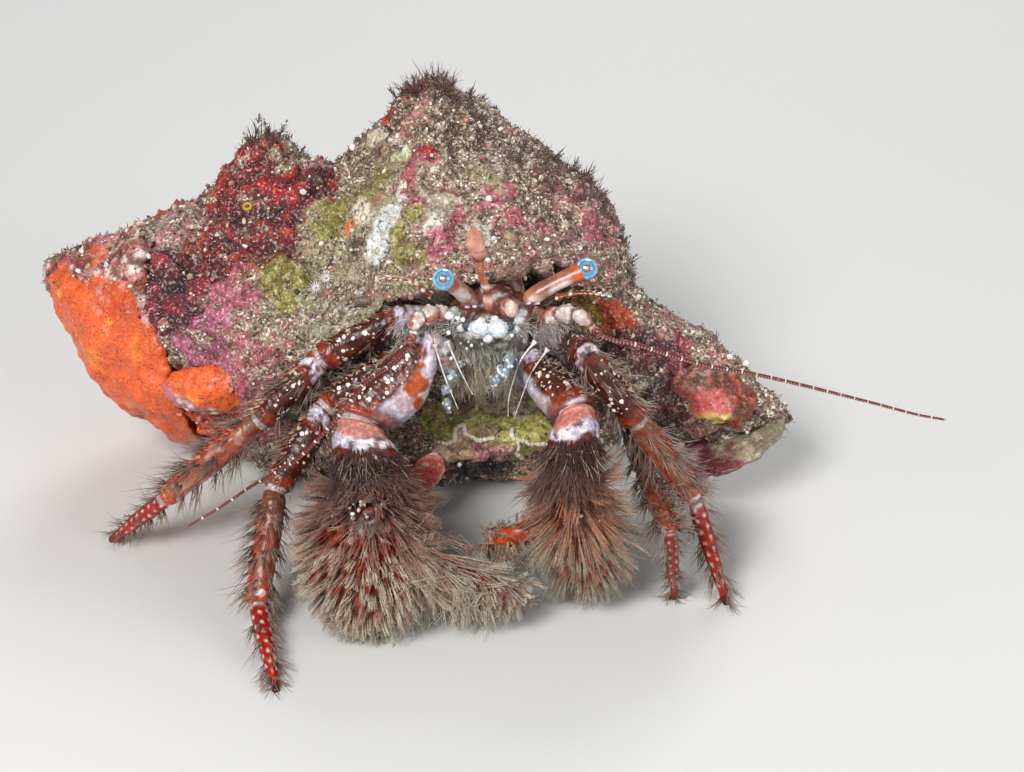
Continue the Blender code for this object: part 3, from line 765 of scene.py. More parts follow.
def readLimb(prefix, parts, tip=None):  # the segments of a limb, from its nodes
    names = [f"{prefix}_ischium"] + [f"{prefix}_{part}" for part in parts]
    joints = [meeting(a, b) for a, b in zip(names[:-1], names[1:])]
    joints.append(farEnd(names[-1], joints[-1]) if tip is None else meeting(names[-1], tip))
    line = [farEnd(names[0], joints[0])] + joints
    ways = [unit(b - a) for a, b in zip(line[:-1], line[1:])]
    planes = [ways[0]] + [unit(a + b) for a, b in zip(ways[:-1], ways[1:])] + [ways[-1]]
    return [Segment(n, line[i], line[i + 1], planes[i], planes[i + 1]) for i, n in enumerate(names)]


def endForm(t, length, lip, neck):  # the narrow neck and the flared rim of a segment
    fromStart, toEnd = t * length, (1 - t) * length
    neck = neck + (1 - neck) * step(fromStart, 0.0, 1.2)
    rim = 1 + 0.035 * lip * near(toEnd, 0.45, 0.5)
    close = np.sqrt(np.clip(toEnd / 0.5, 0, 1)) * np.sqrt(np.clip((fromStart + 0.05) / 0.5, 0, 1))
    return neck * rim * (0.62 + 0.38 * close)


def addSegment(bundle, segment, paint, relief, rows=60, around=52, grow=0.93, lip=1.0, neck=0.86):
    t = np.linspace(0, 1, rows)
    t = t - 0.35 * np.sin(fullTurn * t) / fullTurn  # closer rows at both ends
    t, turn = np.meshgrid(t, turnsRound(around), indexing="ij")
    bare = segment.at(t, turn, grow * endForm(t, segment.length, lip, neck))
    out = segment.outOf(turn)
    rise = relief(segment, t, turn, bare, out) * step(np.minimum(t, 1 - t) * segment.length, 0.05, 0.5)
    colour, marks = paint(segment, t, turn, bare, out)
    addRings(bundle, bare + out * rise[..., None], flattened(colour),
             **{key: flattened(value) for key, value in marks.items()})


def plateLook(name, rough=0.32, dot=0.85, dots=rgb(230, 220, 206)):
    look = Look(name, Coat_Weight=0.22, Coat_Roughness=0.2, Specular_IOR_Level=0.3)
    tint, dotty, fleck = look.tint(), look.mark("dotty"), look.mark("fleck")
    stir = look.node("TexNoise", None, {"Vector": look.place(0.6), "Scale": 1.0}, 1)
    warp = look.node("VectorMath", {"operation": "ADD"}, {0: look.place(1.0), 1: look.scaled(stir, 0.22)})
    masks = []  # each size of dot, with the dark ring round it
    for size, share, least in ((dot, 0.23, 0.22), (dot * 0.5, 0.22, 0.66)):
        spot = look.scaled(warp, 1 / size)
        away = look.pebbles(1, where=spot)
        number = look.node("SeparateColor", None, {0: look.pebbles(1, 1, spot)})
        wide = number * 0.13 + share - 0.04
        chosen = look.fade(number, least, least + 0.02)
        masks.append((look.fade(wide - away, -0.03, 0.05) * chosen * dotty,
                      look.fade(wide + 0.08 - away, -0.02, 0.04) * chosen * dotty))
    streak = look.fade(look.noise(0.5, 4, 0.65), 0.42, 0.66)
    shaded = look.mix(tint, look.mix(rgb(116, 62, 50), (1, 1, 1), streak), 0.5, "MULTIPLY")
    scales = look.fade(look.noise(0.33, 3, 0.6), 0.60, 0.72) * fleck
    warm = look.mix(shaded, rgb(196, 112, 72), scales * 0.45)
    ringed = look.mix(warm, rgb(26, 8, 8), masks[0][1] * 0.55)
    colour = look.mix(look.mix(ringed, dots, masks[1][0] * 0.75), dots, masks[0][0])
    height = look.noise(0.28, 4, 0.6) * 0.5 + masks[0][0] * 0.3 + look.noise(0.9, 2) * 0.4
    return look.wear(colour, look.noise(0.5, 2) * 0.25 + (rough - 0.08), height, 0.08)


def plainMarks(t, fleck):
    return {"dotty": np.zeros(t.shape), "fleck": np.full(t.shape, fleck)}


def darkPaint(seenFrom, lobe=0.0, dotty=1.0):
    seenFrom = unit(np.array(seenFrom, float))
    band = 1.9 * lobe  # where the white band starts

    def paint(segment, t, turn, points, out):  # chestnut with cream dots, and the banded joints
        fromStart, toEnd = t * segment.length, (1 - t) * segment.length
        seen = step(out @ seenFrom, -0.25, 0.45)
        wave = 0.35 * np.sin(3 * turn + 1.2) + 0.35 * waves(points, 1.0, 5, 2)
        mottle = waves(points, 1.3, 8, 3)
        start = fromStart + wave
        ragged = start + 0.5 * np.abs(np.sin(1.5 * turn + 0.6)) - 0.2 + 0.25 * mottle
        white = step(ragged, band + 0.2, band + 0.5) * (1 - step(ragged, band + 1.6, band + 1.9))
        white = white * (1 - 0.8 * step(waves(points, 0.6, 28, 2), 0.25, 0.5))
        colour = layered(
            chestnut, (maroon, step(mottle, 0.0, 0.9)),
            (umber, step(waves(points, 0.8, 12, 2), 0.35, 0.9) * 0.8),
            (flame, near(toEnd + wave * 0.6, 0.85, 0.55) * seen * 0.75),
            (milk, near(toEnd, 0.16, 0.15) * step(out @ seenFrom, 0.45, 0.75)),
            (blend(flame, rgb(222, 150, 136), min(1, lobe)),
             (1 - step(start + 0.5 * np.cos(turn - 1.6), band + 0.5, band + 1.0)) * seen),
            (blend(lilac, milk, step(mottle, -0.4, 0.6)), white * seen),
            (brick, near(start, band + 2.2, 0.35) * seen * 0.8))
        dots = dotty * (1 - step(band + 2.7 - fromStart, 0, 0.6)) * step(toEnd, 1.3, 1.8)
        return colour, {"dotty": dots, "fleck": np.ones(t.shape)}
    return paint


def basePaint(segment, t, turn, points, out):  # the pale, blotched first length of a limb
    colour = layered(rgb(206, 200, 214), (rgb(228, 222, 232), step(waves(points, 1.4, 25), -0.3, 0.5)),
                     (rgb(190, 112, 84), step(waves(points, 1.1, 26, 2), 0.35, 0.6) * 0.8),
                     (rgb(96, 60, 60), step(waves(points, 0.8, 27, 2), 0.55, 0.8) * 0.7))
    return colour, plainMarks(t, 0.2)


def palePaint(segment, t, turn, points, out):  # a salmon propodus, redder at its end
    fromStart, toEnd = t * segment.length, (1 - t) * segment.length
    stripe = waves(np.stack([turn * 2.2, t * segment.length * 0.35, 0 * t], -1), 1.0, 31, 2)
    lower = step(-out[..., 2], 0.25, 0.7)
    colour = layered(
        tan, (brick, step(stripe, 0.0, 0.7) * 0.75),
        (rgb(206, 170, 150), step(waves(points, 0.9, 33, 2), 0.3, 0.9) * 0.5),
        (umber, (1 - step(fromStart, 0.6, 2.6)) * 0.65),
        (lilac, lower * step(waves(points, 1.6, 35), -0.5, 0.1) * 0.85),
        (redToe, near(out[..., 2], -0.2, 0.10) * 0.7 * step(fromStart, 2, 3)),
        (rgb(216, 92, 44), step(-toEnd, -1.9, -0.6) * 0.75),
        (milk, near(toEnd, 0.9, 0.55) * step(waves(points, 0.9, 37), 0.12, 0.3)))
    return colour, plainMarks(t, 0.6)


def toePaint(segment, t, turn, points, out):  # scarlet with lines of white dots and a horny tip
    fromStart, toEnd = t * segment.length, (1 - t) * segment.length
    colour = layered(redToe, (rgb(120, 16, 10), step(waves(points, 0.7, 41, 2), 0.0, 0.8) * 0.7),
                     (rgb(216, 104, 66), step(waves(points, 0.5, 43, 2), 0.45, 0.9) * 0.6))
    gap = 1.15  # between the dots of a line
    for k in range(6):
        middle = 0.5 + k * math.pi / 3
        away = np.abs((turn - middle + math.pi) % (2 * math.pi) - math.pi) * 0.9
        beat = np.abs(((fromStart + 0.37 * (k % 3)) / gap) % 1 - 0.5) * gap
        dot = 1 - step(np.hypot(away * 0.9, beat), 0.13, 0.26)
        colour = blend(colour, rgb(240, 214, 190), dot * step(toEnd, 1.6, 2.4))
    colour = layered(colour, (rgb(70, 30, 20), step(-toEnd, -1.1, -0.3)),
                     (milk, near(fromStart, 0.25, 0.22) * step(out[..., 2] - out[..., 1], 0.2, 0.8) * 0.8))
    return colour, plainMarks(t, 0.3)


def scaly(strength=1.0):  # ridges like roof tiles on the upper edge, fine grains elsewhere
    def relief(segment, t, turn, points, out):
        upper = step(out[..., 2], 0.1, 0.8)
        saw = (t * segment.length / 0.62 + 0.25 * np.sin(4 * turn) + 0.3 * waves(points, 1.0, 51)) % 1
        ridges = (1 - saw) ** 1.5 * 0.13 * upper
        return strength * (ridges + 0.06 * waves(points, 0.8, 52, 2) + 0.035 * waves(points, 0.3, 53))
    return relief


def smoothRelief(segment, t, turn, points, out):
    groove = -0.05 * near(np.cos(2 * turn), 0, 0.2)
    return groove + 0.04 * waves(points, 0.9, 55, 2) + 0.02 * waves(points, 0.3, 56)


legs = {  # where each leg is seen from, its row of spines, and how much painted shade darkens it: the left legs, lying in shadow, most
    "leg_right_2": dict(seen=(0.2, -0.7, 0.6), spineSide=(-1.0, -0.2, 0.3), shade=0.92),
    "leg_right_3": dict(seen=(0.2, -0.7, 0.6), spineSide=(-0.3, 0.2, 1.0), shade=0.92),
    "leg_left_2": dict(seen=(-0.1, -0.7, 0.6), spineSide=(1.0, 0.1, 0.3), shade=0.72),
    "leg_left_3": dict(seen=(-0.1, -0.7, 0.6), spineSide=(1.0, 0.1, 0.3), shade=0.66)}
legParts = {  # paint, relief, rim, neck, and its spines: how many and how long
    "merus": ("dark", scaly(), 0.5, 0.88, 8, 0.5), "carpus": ("dark", scaly(), 0.5, 0.98, 12, 0.7),
    "propodus": (palePaint, scaly(0.8), 0.5, 0.88, 16, 0.62),
    "dactyl": (toePaint, smoothRelief, 0, 0.88, 0, 0)}
spineRows = (-0.45, 0.0, 0.5)
darkSpine, redSpine = (rgb(126, 56, 36), rgb(226, 190, 156)), (rgb(190, 54, 28), rgb(226, 140, 104))
limbs = {}  # the segments of each limb, for the hairs that grow on them


def makeLeg(name, leg, look):
    start, *segments = readLimb(name, legParts)
    limbs[name] = segments
    body = Bundle()
    dark = darkPaint(leg["seen"])
    addSegment(body, start, basePaint, smoothRelief, 24, 32)
    for segment, (paint, relief, lip, neck, _, _) in zip(segments, legParts.values()):
        addSegment(body, segment, dark if paint == "dark" else paint, relief, lip=lip, neck=neck)
    for segment in segments:
        addBall(body, segment.start, segment.half[0].mean() * 0.8, rgb(206, 190, 186), dotty=0, fleck=0)
    rng = np.random.default_rng(len(name) + ord(name[-1]) + ord(name[4]))
    for segment, (_, _, _, _, count, long) in zip(segments[:3], legParts.values()):
        for sway in spineRows:
            t = np.linspace(0.2, 0.94, count) + rng.normal(0, 0.015, count)
            turn = segment.turnTo(leg["spineSide"]) + sway + rng.normal(0, 0.08, count)
            way = segment.outOf(turn) * 0.75 + segment.along * 0.9
            sizes = long * rng.uniform(0.7, 1.15, count)
            pair = redSpine if "propodus" in segment.node else darkSpine
            colour = blend(*pair, rng.uniform(0, 0.8, count))
            addSpikes(body, segment.at(t, turn, 0.93), way, sizes, 0.17 * rng.uniform(0.8, 1.2, count),
                      colour, dotty=0, fleck=0)
    # painted shade: every colour of the leg is darkened by its shade factor
    body.tints = [tint * leg["shade"] for tint in body.tints]
    body.build(name, look, replaces=[s.node for s in (start, *segments)])


shellPlate = plateLook("legPlate")
for legName, leg in legs.items():
    makeLeg(legName, leg, shellPlate)
print("legs ready")


# hair and bristles: each strand is a closed mesh with its own small patch of the skin's unwrap
def strandCentres(roots, ways, lengths, bends, shares):
    shares = shares[None, :, None]
    lengths = lengths[:, None, None]
    return roots[:, None] + (ways[:, None] * shares + bends[:, None] * shares ** 2) * lengths


def addStrands(bundle, roots, ways, lengths, width, bends, rootTint, tipTint, uv, steps=3, blunt=0.25):
    count, sides = len(roots), 3
    ways = unit(ways)
    shares = np.linspace(0, 1, steps + 1)
    centres = strandCentres(roots, ways, lengths, bends, shares)
    centres[..., 2] = np.maximum(centres[..., 2], 0.06)  # clear of the floor
    side, up = frameOf(ways)
    turn = turnsRound(sides)
    ring = spokes(side[:, None], up[:, None], turn[None])
    radius = np.broadcast_to(width, (count,))[:, None] * (1 - (1 - blunt) * shares[None] ** 2)
    points = centres[:, :-1, None] + ring[:, None] * radius[:, :-1, None, None]
    block = np.concatenate([points.reshape(count, -1, 3), centres[:, -1:], centres[:, :1]], 1)
    last = steps * sides
    tris = np.vstack([capFaces(np.arange(last - sides, last), last),
                      capFaces(np.arange(sides), last + 1, True)])
    along = np.concatenate([np.repeat(shares[:-1], sides), [1, 0]])
    tint = rootTint[:, None] + (tipTint - rootTint)[:, None] * along[None, :, None] ** 0.8
    across = np.concatenate([np.tile(np.cos(turn), steps), [0, 0]]) * patchSize / 3
    patch = uv[:, None] + np.stack([across, (along - 0.5) * patchSize], -1)[None]
    addCopies(bundle, block, gridFaces(steps, sides), tris, tint.reshape(-1, 3), patch.reshape(-1, 2))


barb = dict(count=16, size=0.29, thin=0.03, first=0.28, last=0.99, turn=2.4,
            faces=np.array([[0, 1, 3], [1, 2, 3], [2, 0, 3], [0, 2, 1]]))


def addPlumes(bundle, roots, ways, lengths, width, bends, rootTint, tipTint, uv, rng):
    addStrands(bundle, roots, ways, lengths, width, bends, rootTint, tipTint, uv, 4, 0.5)
    count, barbs, thin = len(roots), barb["count"], barb["thin"]
    ways = unit(ways)
    shares = np.linspace(barb["first"], barb["last"], barbs)
    centres = strandCentres(roots, ways, lengths, bends, shares)
    side, up = frameOf(ways)
    spin = rng.uniform(0, 6.28, count)[:, None] + np.arange(barbs)[None] * barb["turn"]
    out = spokes(side[:, None], up[:, None], spin)
    lean = rng.uniform(0.45, 0.8, (count, barbs))[..., None]
    away = unit(ways[:, None] * 0.9 + out * lean)
    across = np.cross(away, out)
    full = (0.55 + 0.6 * np.sin(np.pi * shares ** 1.3)[None, :, None])
    size = barb["size"] * full * rng.uniform(0.7, 1.1, (count, barbs))[..., None]
    base = [centres + across * thin, centres - across * thin, centres + ways[:, None] * thin * 2.2]
    block = np.stack([*base, centres + away * size], 2).reshape(-1, 4, 3)
    block[..., 2] = np.maximum(block[..., 2], 0.05)
    tint = rootTint[:, None] + (tipTint - rootTint)[:, None] * shares[None, :, None]
    tint = np.repeat(tint.reshape(-1, 3), 4, 0)
    tint[3::4] = tint[3::4] * 1.15 + 0.02  # the barbs' ends are lighter
    patch = uv[:, None] + np.stack([0 * shares, (shares - 0.5) * patchSize], -1)[None]
    addCopies(bundle, block, (), barb["faces"], tint, np.repeat(patch.reshape(-1, 2), 4, 0))


def hairLook(name, rough=0.5, dark=0.55):
    look = Look(name, Specular_IOR_Level=0.4, Sheen_Weight=0.15, Sheen_Roughness=0.5)
    tint = look.tint()
    streak = look.fade(look.noise(0.6, 3, 0.6), 0.3, 0.7)
    colour = look.mix(look.mix(tint, (dark, dark * 0.85, dark * 0.75), 0.75, "MULTIPLY"), tint, streak)
    return look.wear(colour, look.noise(0.3, 2) * 0.2 + (rough - 0.1), look.noise(0.12, 2), 0.02)


# the two claw arms and hands
claws = {
    "claw_right": dict(
        inner=(1.0, -0.12, 0.0), seen=(-0.2, -0.75, 0.6), lobe=1.0, blotch=True, plumes=(1500, 1600, 1500),
        wide=4.7, thick=3.1, reach=1.78, lift=0.3, neck=0.80, pale=rgb(232, 226, 202),
        tipWay=(0.93, -0.1, -0.28), finger=(rgb(92, 40, 30), rgb(176, 70, 44)), fingerReach=1.0,
        fingers=((0.5, 1.35, 0.60), (-0.9, 1.35, 0.60)),  # lift, thickness and reach of each
        bareFrom=9, crowd=1.0, fingerHair=(-3.6, 1.2), lean=0.5, lieDown=0, topHair=1.0,
        fingerShade=(0.8, 0.84), sleeve=(0.9, 0.5), spikes=150, bulge=1.3, paleAt=(0.22, 0.62), paleFrom=0.16,
        roots=(rgb(44, 16, 15), rgb(156, 98, 78)), tips=(rgb(164, 118, 98), rgb(200, 156, 132))),
    "claw_left": dict(
        inner=(-1.0, 0.35, -0.25), seen=(0.1, -0.75, 0.6), lobe=0.8, blotch=False, plumes=(850, 950, 900),
        wide=3.3, thick=2.5, reach=1.62, lift=0.0, neck=0.95, pale=rgb(190, 194, 174),
        tipWay=(-0.9, 0.05, -0.15), finger=(rgb(150, 58, 36), rgb(226, 88, 38)), fingerReach=1.55,
        fingers=((0.9, 1.6, 0.50), (-0.6, 0.6, 0.30)),
        bareFrom=1.0, crowd=0.6, fingerHair=(-3.0, 1.2), lean=0.1, lieDown=0.4, topHair=0.6,
        fingerShade=(1, 1), sleeve=(0.5, 0.8), spikes=40, bulge=0.3, paleAt=(0.16, 0.56), paleFrom=0.42,
        roots=(rgb(122, 56, 38), rgb(192, 116, 78)), tips=(rgb(200, 138, 102), rgb(212, 170, 136)))}


def carpusPaint(claw):
    dark = darkPaint(claw["seen"], claw["lobe"], 0.7)

    def paint(segment, t, turn, points, out):
        colour, marks = dark(segment, t, turn, points, out)
        return blend(colour, rgb(38, 12, 10), step(t, 0.55, 0.85) * 0.95), marks
    return paint


def merusPaint(claw):  # dark outside, white on its inner face
    dark = darkPaint(claw["seen"], 0)
    inner = unit(np.array(claw["inner"], float))
    paleFrom = claw["paleFrom"]

    def paint(segment, t, turn, points, out):
        colour, marks = dark(segment, t, turn, points, out)
        face = step(out @ inner + 0.12 * waves(points, 1.5, 61, 2), paleFrom, paleFrom + 0.2)
        face = face * (1 - 0.85 * step(t, 0.72, 0.9))
        pale = blend(rgb(226, 222, 236), rgb(220, 196, 200), step(waves(points, 2, 62), 0, 0.8))
        if claw["blotch"]:
            stain = 0.35 * waves(points, 1.0, 64, 2) + near(t, 0.42, 0.26) * near(out @ inner, 0.5, 0.36)
            pale = blend(pale, rgb(196, 92, 48), step(stain, 0.6, 0.75))
        edge = near(out @ inner, paleFrom - 0.06, 0.12) * (face < 0.6)
        colour = layered(colour, (rgb(150, 70, 32), edge * 0.75 * step(waves(points, 0.7, 66), -0.6, 0.2)),
                         (pale, face))
        marks["dotty"] = marks["dotty"] * (1 - face)
        return colour, marks
    return paint


def bulged(relief, inner, size):  # a merus that is full on its inner face
    inner = unit(np.array(inner, float))

    def shaped(segment, t, turn, points, out):
        full = size * near(t, 0.42, 0.42) * np.clip(out @ inner, 0, 1)
        return relief(segment, t, turn, points, out) + full
    return shaped


def throughTo(tree, spot, way, most=9.0):  # how far the last wall is from a spot inside
    total, here = 0.0, Vector(spot)
    way = Vector(way)
    while total < most:
        hit, _, _, away = tree.ray_cast(here, way, most - total)
        if hit is None:
            break
        total += away + 0.02
        here = hit + way * 0.02
    return total


class Core:  # the hand under the coat: an egg from the joint outward
    def __init__(self, joint, claw, name):
        self.joint, self.claw = joint, claw
        reach = nodeMiddle(f"{name}_palm") - joint
        self.along = unit(reach)
        self.length = np.linalg.norm(reach) * claw["reach"]
        side, up = frameOf(self.along)
        self.side, self.up = side[0], up[0]

    def at(self, t, turn):
        claw = self.claw
        bulge = np.sqrt(np.clip(1 - (2 * np.clip(t, 0, 1) ** 0.8 - 1) ** 2, 0, 1))
        form = np.maximum(bulge, claw["neck"] * np.sqrt(np.clip(1 - t * 1.6, 0, 1)))
        off = self.side * (np.cos(turn) * form * claw["wide"])[..., None]
        off = off + self.up * (np.sin(turn) * form * claw["thick"])[..., None]
        lift = self.up * (claw["lift"] * np.sin(np.pi * t))[..., None]
        return self.joint + self.along * (t * self.length)[..., None] + off + lift

    def outOf(self, t, turn):
        return unit(spokes(self.side, self.up, turn) + self.along * (t * 1.6 - 0.6)[..., None])


def makeArm(name, claw, look):
    start, merus, carpus = readLimb(name, ("merus", "carpus"), f"{name}_palm")
    limbs[name] = [merus, carpus]
    arm = Bundle()
    full = bulged(scaly(1.25), claw["inner"], claw["bulge"])
    addSegment(arm, start, basePaint, smoothRelief, 24, 40)
    addSegment(arm, merus, merusPaint(claw), full, 76, 80, 0.95, lip=0.3)
    addSegment(arm, carpus, carpusPaint(claw), scaly(0.7), 70, 80, 0.98, lip=0, neck=1.0)
    for segment in (merus, carpus):
        addBall(arm, segment.start, segment.half[0].mean() * 0.82, rgb(214, 196, 196), dotty=0, fleck=0)
    arm.build(f"{name}_arm", look, replaces=[s.node for s in (start, merus, carpus)])
    return carpus.end


def makeHand(name, claw, core, look, rng):
    hand = Bundle()
    t, turn = np.meshgrid(np.linspace(0, 1, 90), turnsRound(96), indexing="ij")
    points = core.at(t, turn)
    knob = np.clip(0.5 - cells(points.reshape(-1, 3), 0.8, 71)[0], 0, 1)
    grain = (0.28 * knob).reshape(t.shape)
    points = points + core.outOf(t, turn) * (grain + 0.12 * waves(points, 1.6, 72, 2))[..., None]
    colour = layered(rgb(120, 52, 40), (rgb(58, 18, 16), step(0.45 - t, 0, 0.3)),
                     (rgb(206, 110, 84), (knob * 1.6).reshape(t.shape)))
    addRings(hand, points, flattened(colour), dotty=0, fleck=1)

    reach, middle, half = fingerPlace(name, claw)
    rows = 40
    for lift, wide, long in claw["fingers"]:
        tip = middle + reach * half * long * claw["fingerReach"] + [0, 0, lift * 0.35]
        base = middle - reach * half * 1.1 + [0, 0.3, lift * 1.3]
        path = smoothPath([base, middle + [0, -0.4, lift * 1.15], tip], rows)
        t = np.linspace(0, 1, rows)
        tint = layered(claw["finger"][0], (claw["finger"][1], step(t, 0.3, 0.8)),
                       (rgb(246, 190, 150), step(t, 0.9, 1.0)))
        addTube(hand, path, wide * (1 - t ** 2.2) ** 0.6 * 0.72 + 0.05, 32, tint,
                lambda p: 0.10 * np.maximum(waves(p, 0.5, 75), 0), dotty=0, fleck=1)

    front = turnTo(claw["seen"], core.side, core.up)
    count = claw["spikes"]
    t, turn = rng.uniform(0.32, 0.74, count), rng.normal(front, 0.8, count)
    way = unit(spokes(core.side, core.up, turn)) * 0.7 + core.along * 0.75
    red = blend(rgb(130, 32, 24), rgb(214, 112, 90), rng.uniform(0, 1, count) ** 1.5)
    red = red * (0.6 + 0.4 * step(t, 0.25, 0.5))[:, None]
    addSpikes(hand, core.at(t, turn), way, rng.uniform(1.2, 2.2, count), rng.uniform(0.16, 0.28, count), red,
              0.15, dotty=0, fleck=0)
    count = count // 9  # pale grains caught near the joint
    t, turn = rng.uniform(0.10, 0.26, count), rng.normal(front, 0.3, count)
    spots = core.at(t, turn) + unit(spokes(core.side, core.up, turn)) * rng.uniform(0.5, 1.6, count)[:, None]
    for spot, size in zip(spots, rng.uniform(0.10, 0.24, count)):
        addBall(hand, spot, size * rng.uniform(0.7, 1.2, 3), rgb(232, 226, 210), 5, 7, dotty=0, fleck=0)
    hand.build(f"{name}_hand", look, replaces=[f"{name}_palm", f"{name}_finger"])


def fingerPlace(name, claw):  # the way of the fingers, their middle and half their width
    low, high = nodeBox(f"{name}_finger")
    return unit(claw["tipWay"]), (low + high) / 2, (high - low)[0] / 2


def makePlumes(name, claw, core, hair, rng):
    tree = nodeTree(f"{name}_palm", f"{name}_finger")
    reach, middle, half = fingerPlace(name, claw)
    places = ((0.0, 0.5), (0.42, 1.0), (0.0, 1.0))  # the hand's upper half, its fan, the fingers
    each = 4  # plumes stand in tufts
    for part, total in enumerate(claw["plumes"]):
        coat = Bundle()
        tufts = total // each
        tuft = np.repeat(np.arange(tufts), each)
        total = len(tuft)

        def tufted(low, high):
            return rng.uniform(low, high, tufts)[tuft]

        t = np.clip(tufted(*places[part]) + rng.normal(0, 0.008, total), 0, 1)
        turn = tufted(0, fullTurn) + rng.normal(0, 0.035, total)
        roots = core.at(t, turn)
        out = core.outOf(t, turn)
        flow = unit(roots - core.joint + [0, 0, 2.0])
        stand = 0.66
        if part == 0:  # it lies down the hand and hides the joint
            flow = unit(flow + core.along * 0.5)
            stand = 1.05 - 0.65 * step(out @ unit(claw["seen"]), 0.1, 0.7)[:, None]
        if part == 2:  # a sleeve round the fingers
            first, last = claw["fingerHair"]
            k = first + (last - first) * tufted(0, 1) ** claw["crowd"] + rng.normal(0, 0.03, total)
            spin = tufted(0, fullTurn) + rng.normal(0, 0.1, total)
            out = unit(spokes(*frameOf(reach), spin))
            out[(out[:, 2] > 0.0) & (k > claw["bareFrom"])] *= [1, 1, -1]
            ring, high = claw["sleeve"]
            roots = middle + reach * (k * half * 0.8)[:, None]
            thick = 0.30 + ring * np.sqrt(np.clip(1 - (k / 3.6) ** 2, 0, 1))
            roots = roots + out * thick[:, None] + [0, 0, high]
            flow = unit(flow + reach * claw["lean"])
            stand = 0.8 - claw["lieDown"] * (out[:, 2:] > 0)
            t = np.clip(0.75 + 0.1 * k, 0, 1)
        sway = rng.normal(0, 0.13, (tufts, 3))[tuft] + rng.normal(0, 0.05, (total, 3))
        ways = unit(flow * 1.05 + out * stand + sway)
        lengths = np.array([throughTo(tree, r, w) for r, w in zip(roots, ways)])
        lengths = np.clip(lengths, 1.9 + 1.8 * (part == 0) * (1 - t), 6.6) * tufted(0.80, 1.06)
        lengths = lengths * rng.uniform(0.93, 1.03, total)
        if part == 2:
            lengths[out[:, 2] > 0] *= claw["topHair"]
        bends = rng.normal(0, 0.10, (tufts, 3))[tuft] - [0, 0, 0.05]
        place = np.clip(t + rng.normal(0, 0.07, tufts)[tuft], 0, 1)
        light = (1 + tufted(-1, 1) * (0.42 - 0.2 * place))[:, None]
        rootTint = blend(*claw["roots"], step(place, 0.12, 0.5)) * light
        tipTint = blend(*claw["tips"], step(place, 0.08, 0.4))
        tipTint = blend(tipTint, claw["pale"], step(place, *claw["paleAt"])) * light
        # painted shade: fingerShade darkens the hair round the fingers
        if part == 2:
            rootTint, tipTint = rootTint * claw["fingerShade"][0], tipTint * claw["fingerShade"][1]
        rusty = (rng.uniform(0, 1, tufts) < 0.2)[tuft] & (place > 0.3)
        tipTint[rusty] = blend(tipTint[rusty], rgb(178, 104, 84), np.full(rusty.sum(), 0.7))
        uv = np.stack([(turn / fullTurn) % 1 * 0.3 + 0.33 * part + 0.01, t * 0.9 + 0.05], -1)
        addPlumes(coat, roots, ways, lengths, 0.042, bends, rootTint, tipTint, uv, rng)
        coat.build(f"{name}_plumes_{part + 1}", hair)


plumeHair = hairLook("plumeHair")
for clawName, claw in claws.items():
    rng = np.random.default_rng(40 + len(clawName))
    core = Core(makeArm(clawName, claw, shellPlate), claw, clawName)
    makeHand(clawName, claw, core, shellPlate, rng)
    makePlumes(clawName, claw, core, plumeHair, rng)
print("claws ready")


# what grows on the shell: sponges, plates, sand grains, weed, polyps and worm tubes
golden = (1 + 5 ** 0.5) / 2  # a grain is a twenty-sided pebble
grainShape = unit(np.array([[-1, golden, 0], [1, golden, 0], [-1, -golden, 0], [1, -golden, 0],
                            [0, -1, golden], [0, 1, golden], [0, -1, -golden], [0, 1, -golden],
                            [golden, 0, -1], [golden, 0, 1], [-golden, 0, -1], [-golden, 0, 1]]))
grainFaces = np.array([[0, 11, 5], [0, 5, 1], [0, 1, 7], [0, 7, 10], [0, 10, 11], [1, 5, 9], [5, 11, 4],
                       [11, 10, 2], [10, 7, 6], [7, 1, 8], [3, 9, 4], [3, 4, 2], [3, 2, 6], [3, 6, 8],
                       [3, 8, 9], [4, 9, 5], [2, 4, 11], [6, 2, 10], [8, 6, 7], [9, 8, 1]])
sand = dict(
    batches=((4300, 0.09, 0.2), (2900, 0.14, 0.38)),  # how many, the smallest and the largest
    colours=np.array([rgb(238, 234, 226), rgb(214, 200, 174), rgb(176, 150, 118), rgb(124, 92, 70),
                      rgb(88, 66, 56), rgb(56, 44, 40), rgb(150, 110, 96), rgb(226, 222, 216),
                      rgb(98, 84, 60), rgb(196, 120, 110)]),
    shares=[.14, .16, .16, .15, .12, .07, .07, .06, .04, .03])


def grainLook():
    look = Look("sandGrain", Coat_Weight=0.3, Coat_Roughness=0.15)
    colour = look.mix(look.tint(), rgb(90, 70, 60), look.fade(look.noise(0.15, 3), 0.45, 0.75) * 0.5)
    return look.wear(colour, look.noise(0.2, 2) * 0.3 + 0.3, look.noise(0.1, 3), 0.02)


def addGrains(bundle, spots, normals, sizes, colours, uv, rng):
    count = len(spots)
    stretch = rng.uniform(0.55, 1.25, (count, 1, 3)) * sizes[:, None, None]
    spin = rng.normal(size=(count, 2, 3))
    one = unit(spin[:, 0])
    two = unit(np.cross(one, spin[:, 1]))
    turned = np.stack([one, two, np.cross(one, two)], 1)
    points = np.einsum("nij,njk->nik", grainShape[None] * stretch, turned) + spots[:, None]
    points = points + normals[:, None] * (sizes * 0.35)[:, None, None]
    points[..., 2] = np.maximum(points[..., 2], 0.03)
    patch = uv[:, None] + grainShape[None, :, :2] * patchSize / 2
    addCopies(bundle, points, (), grainFaces, np.repeat(colours, 12, 0), patch.reshape(-1, 2))


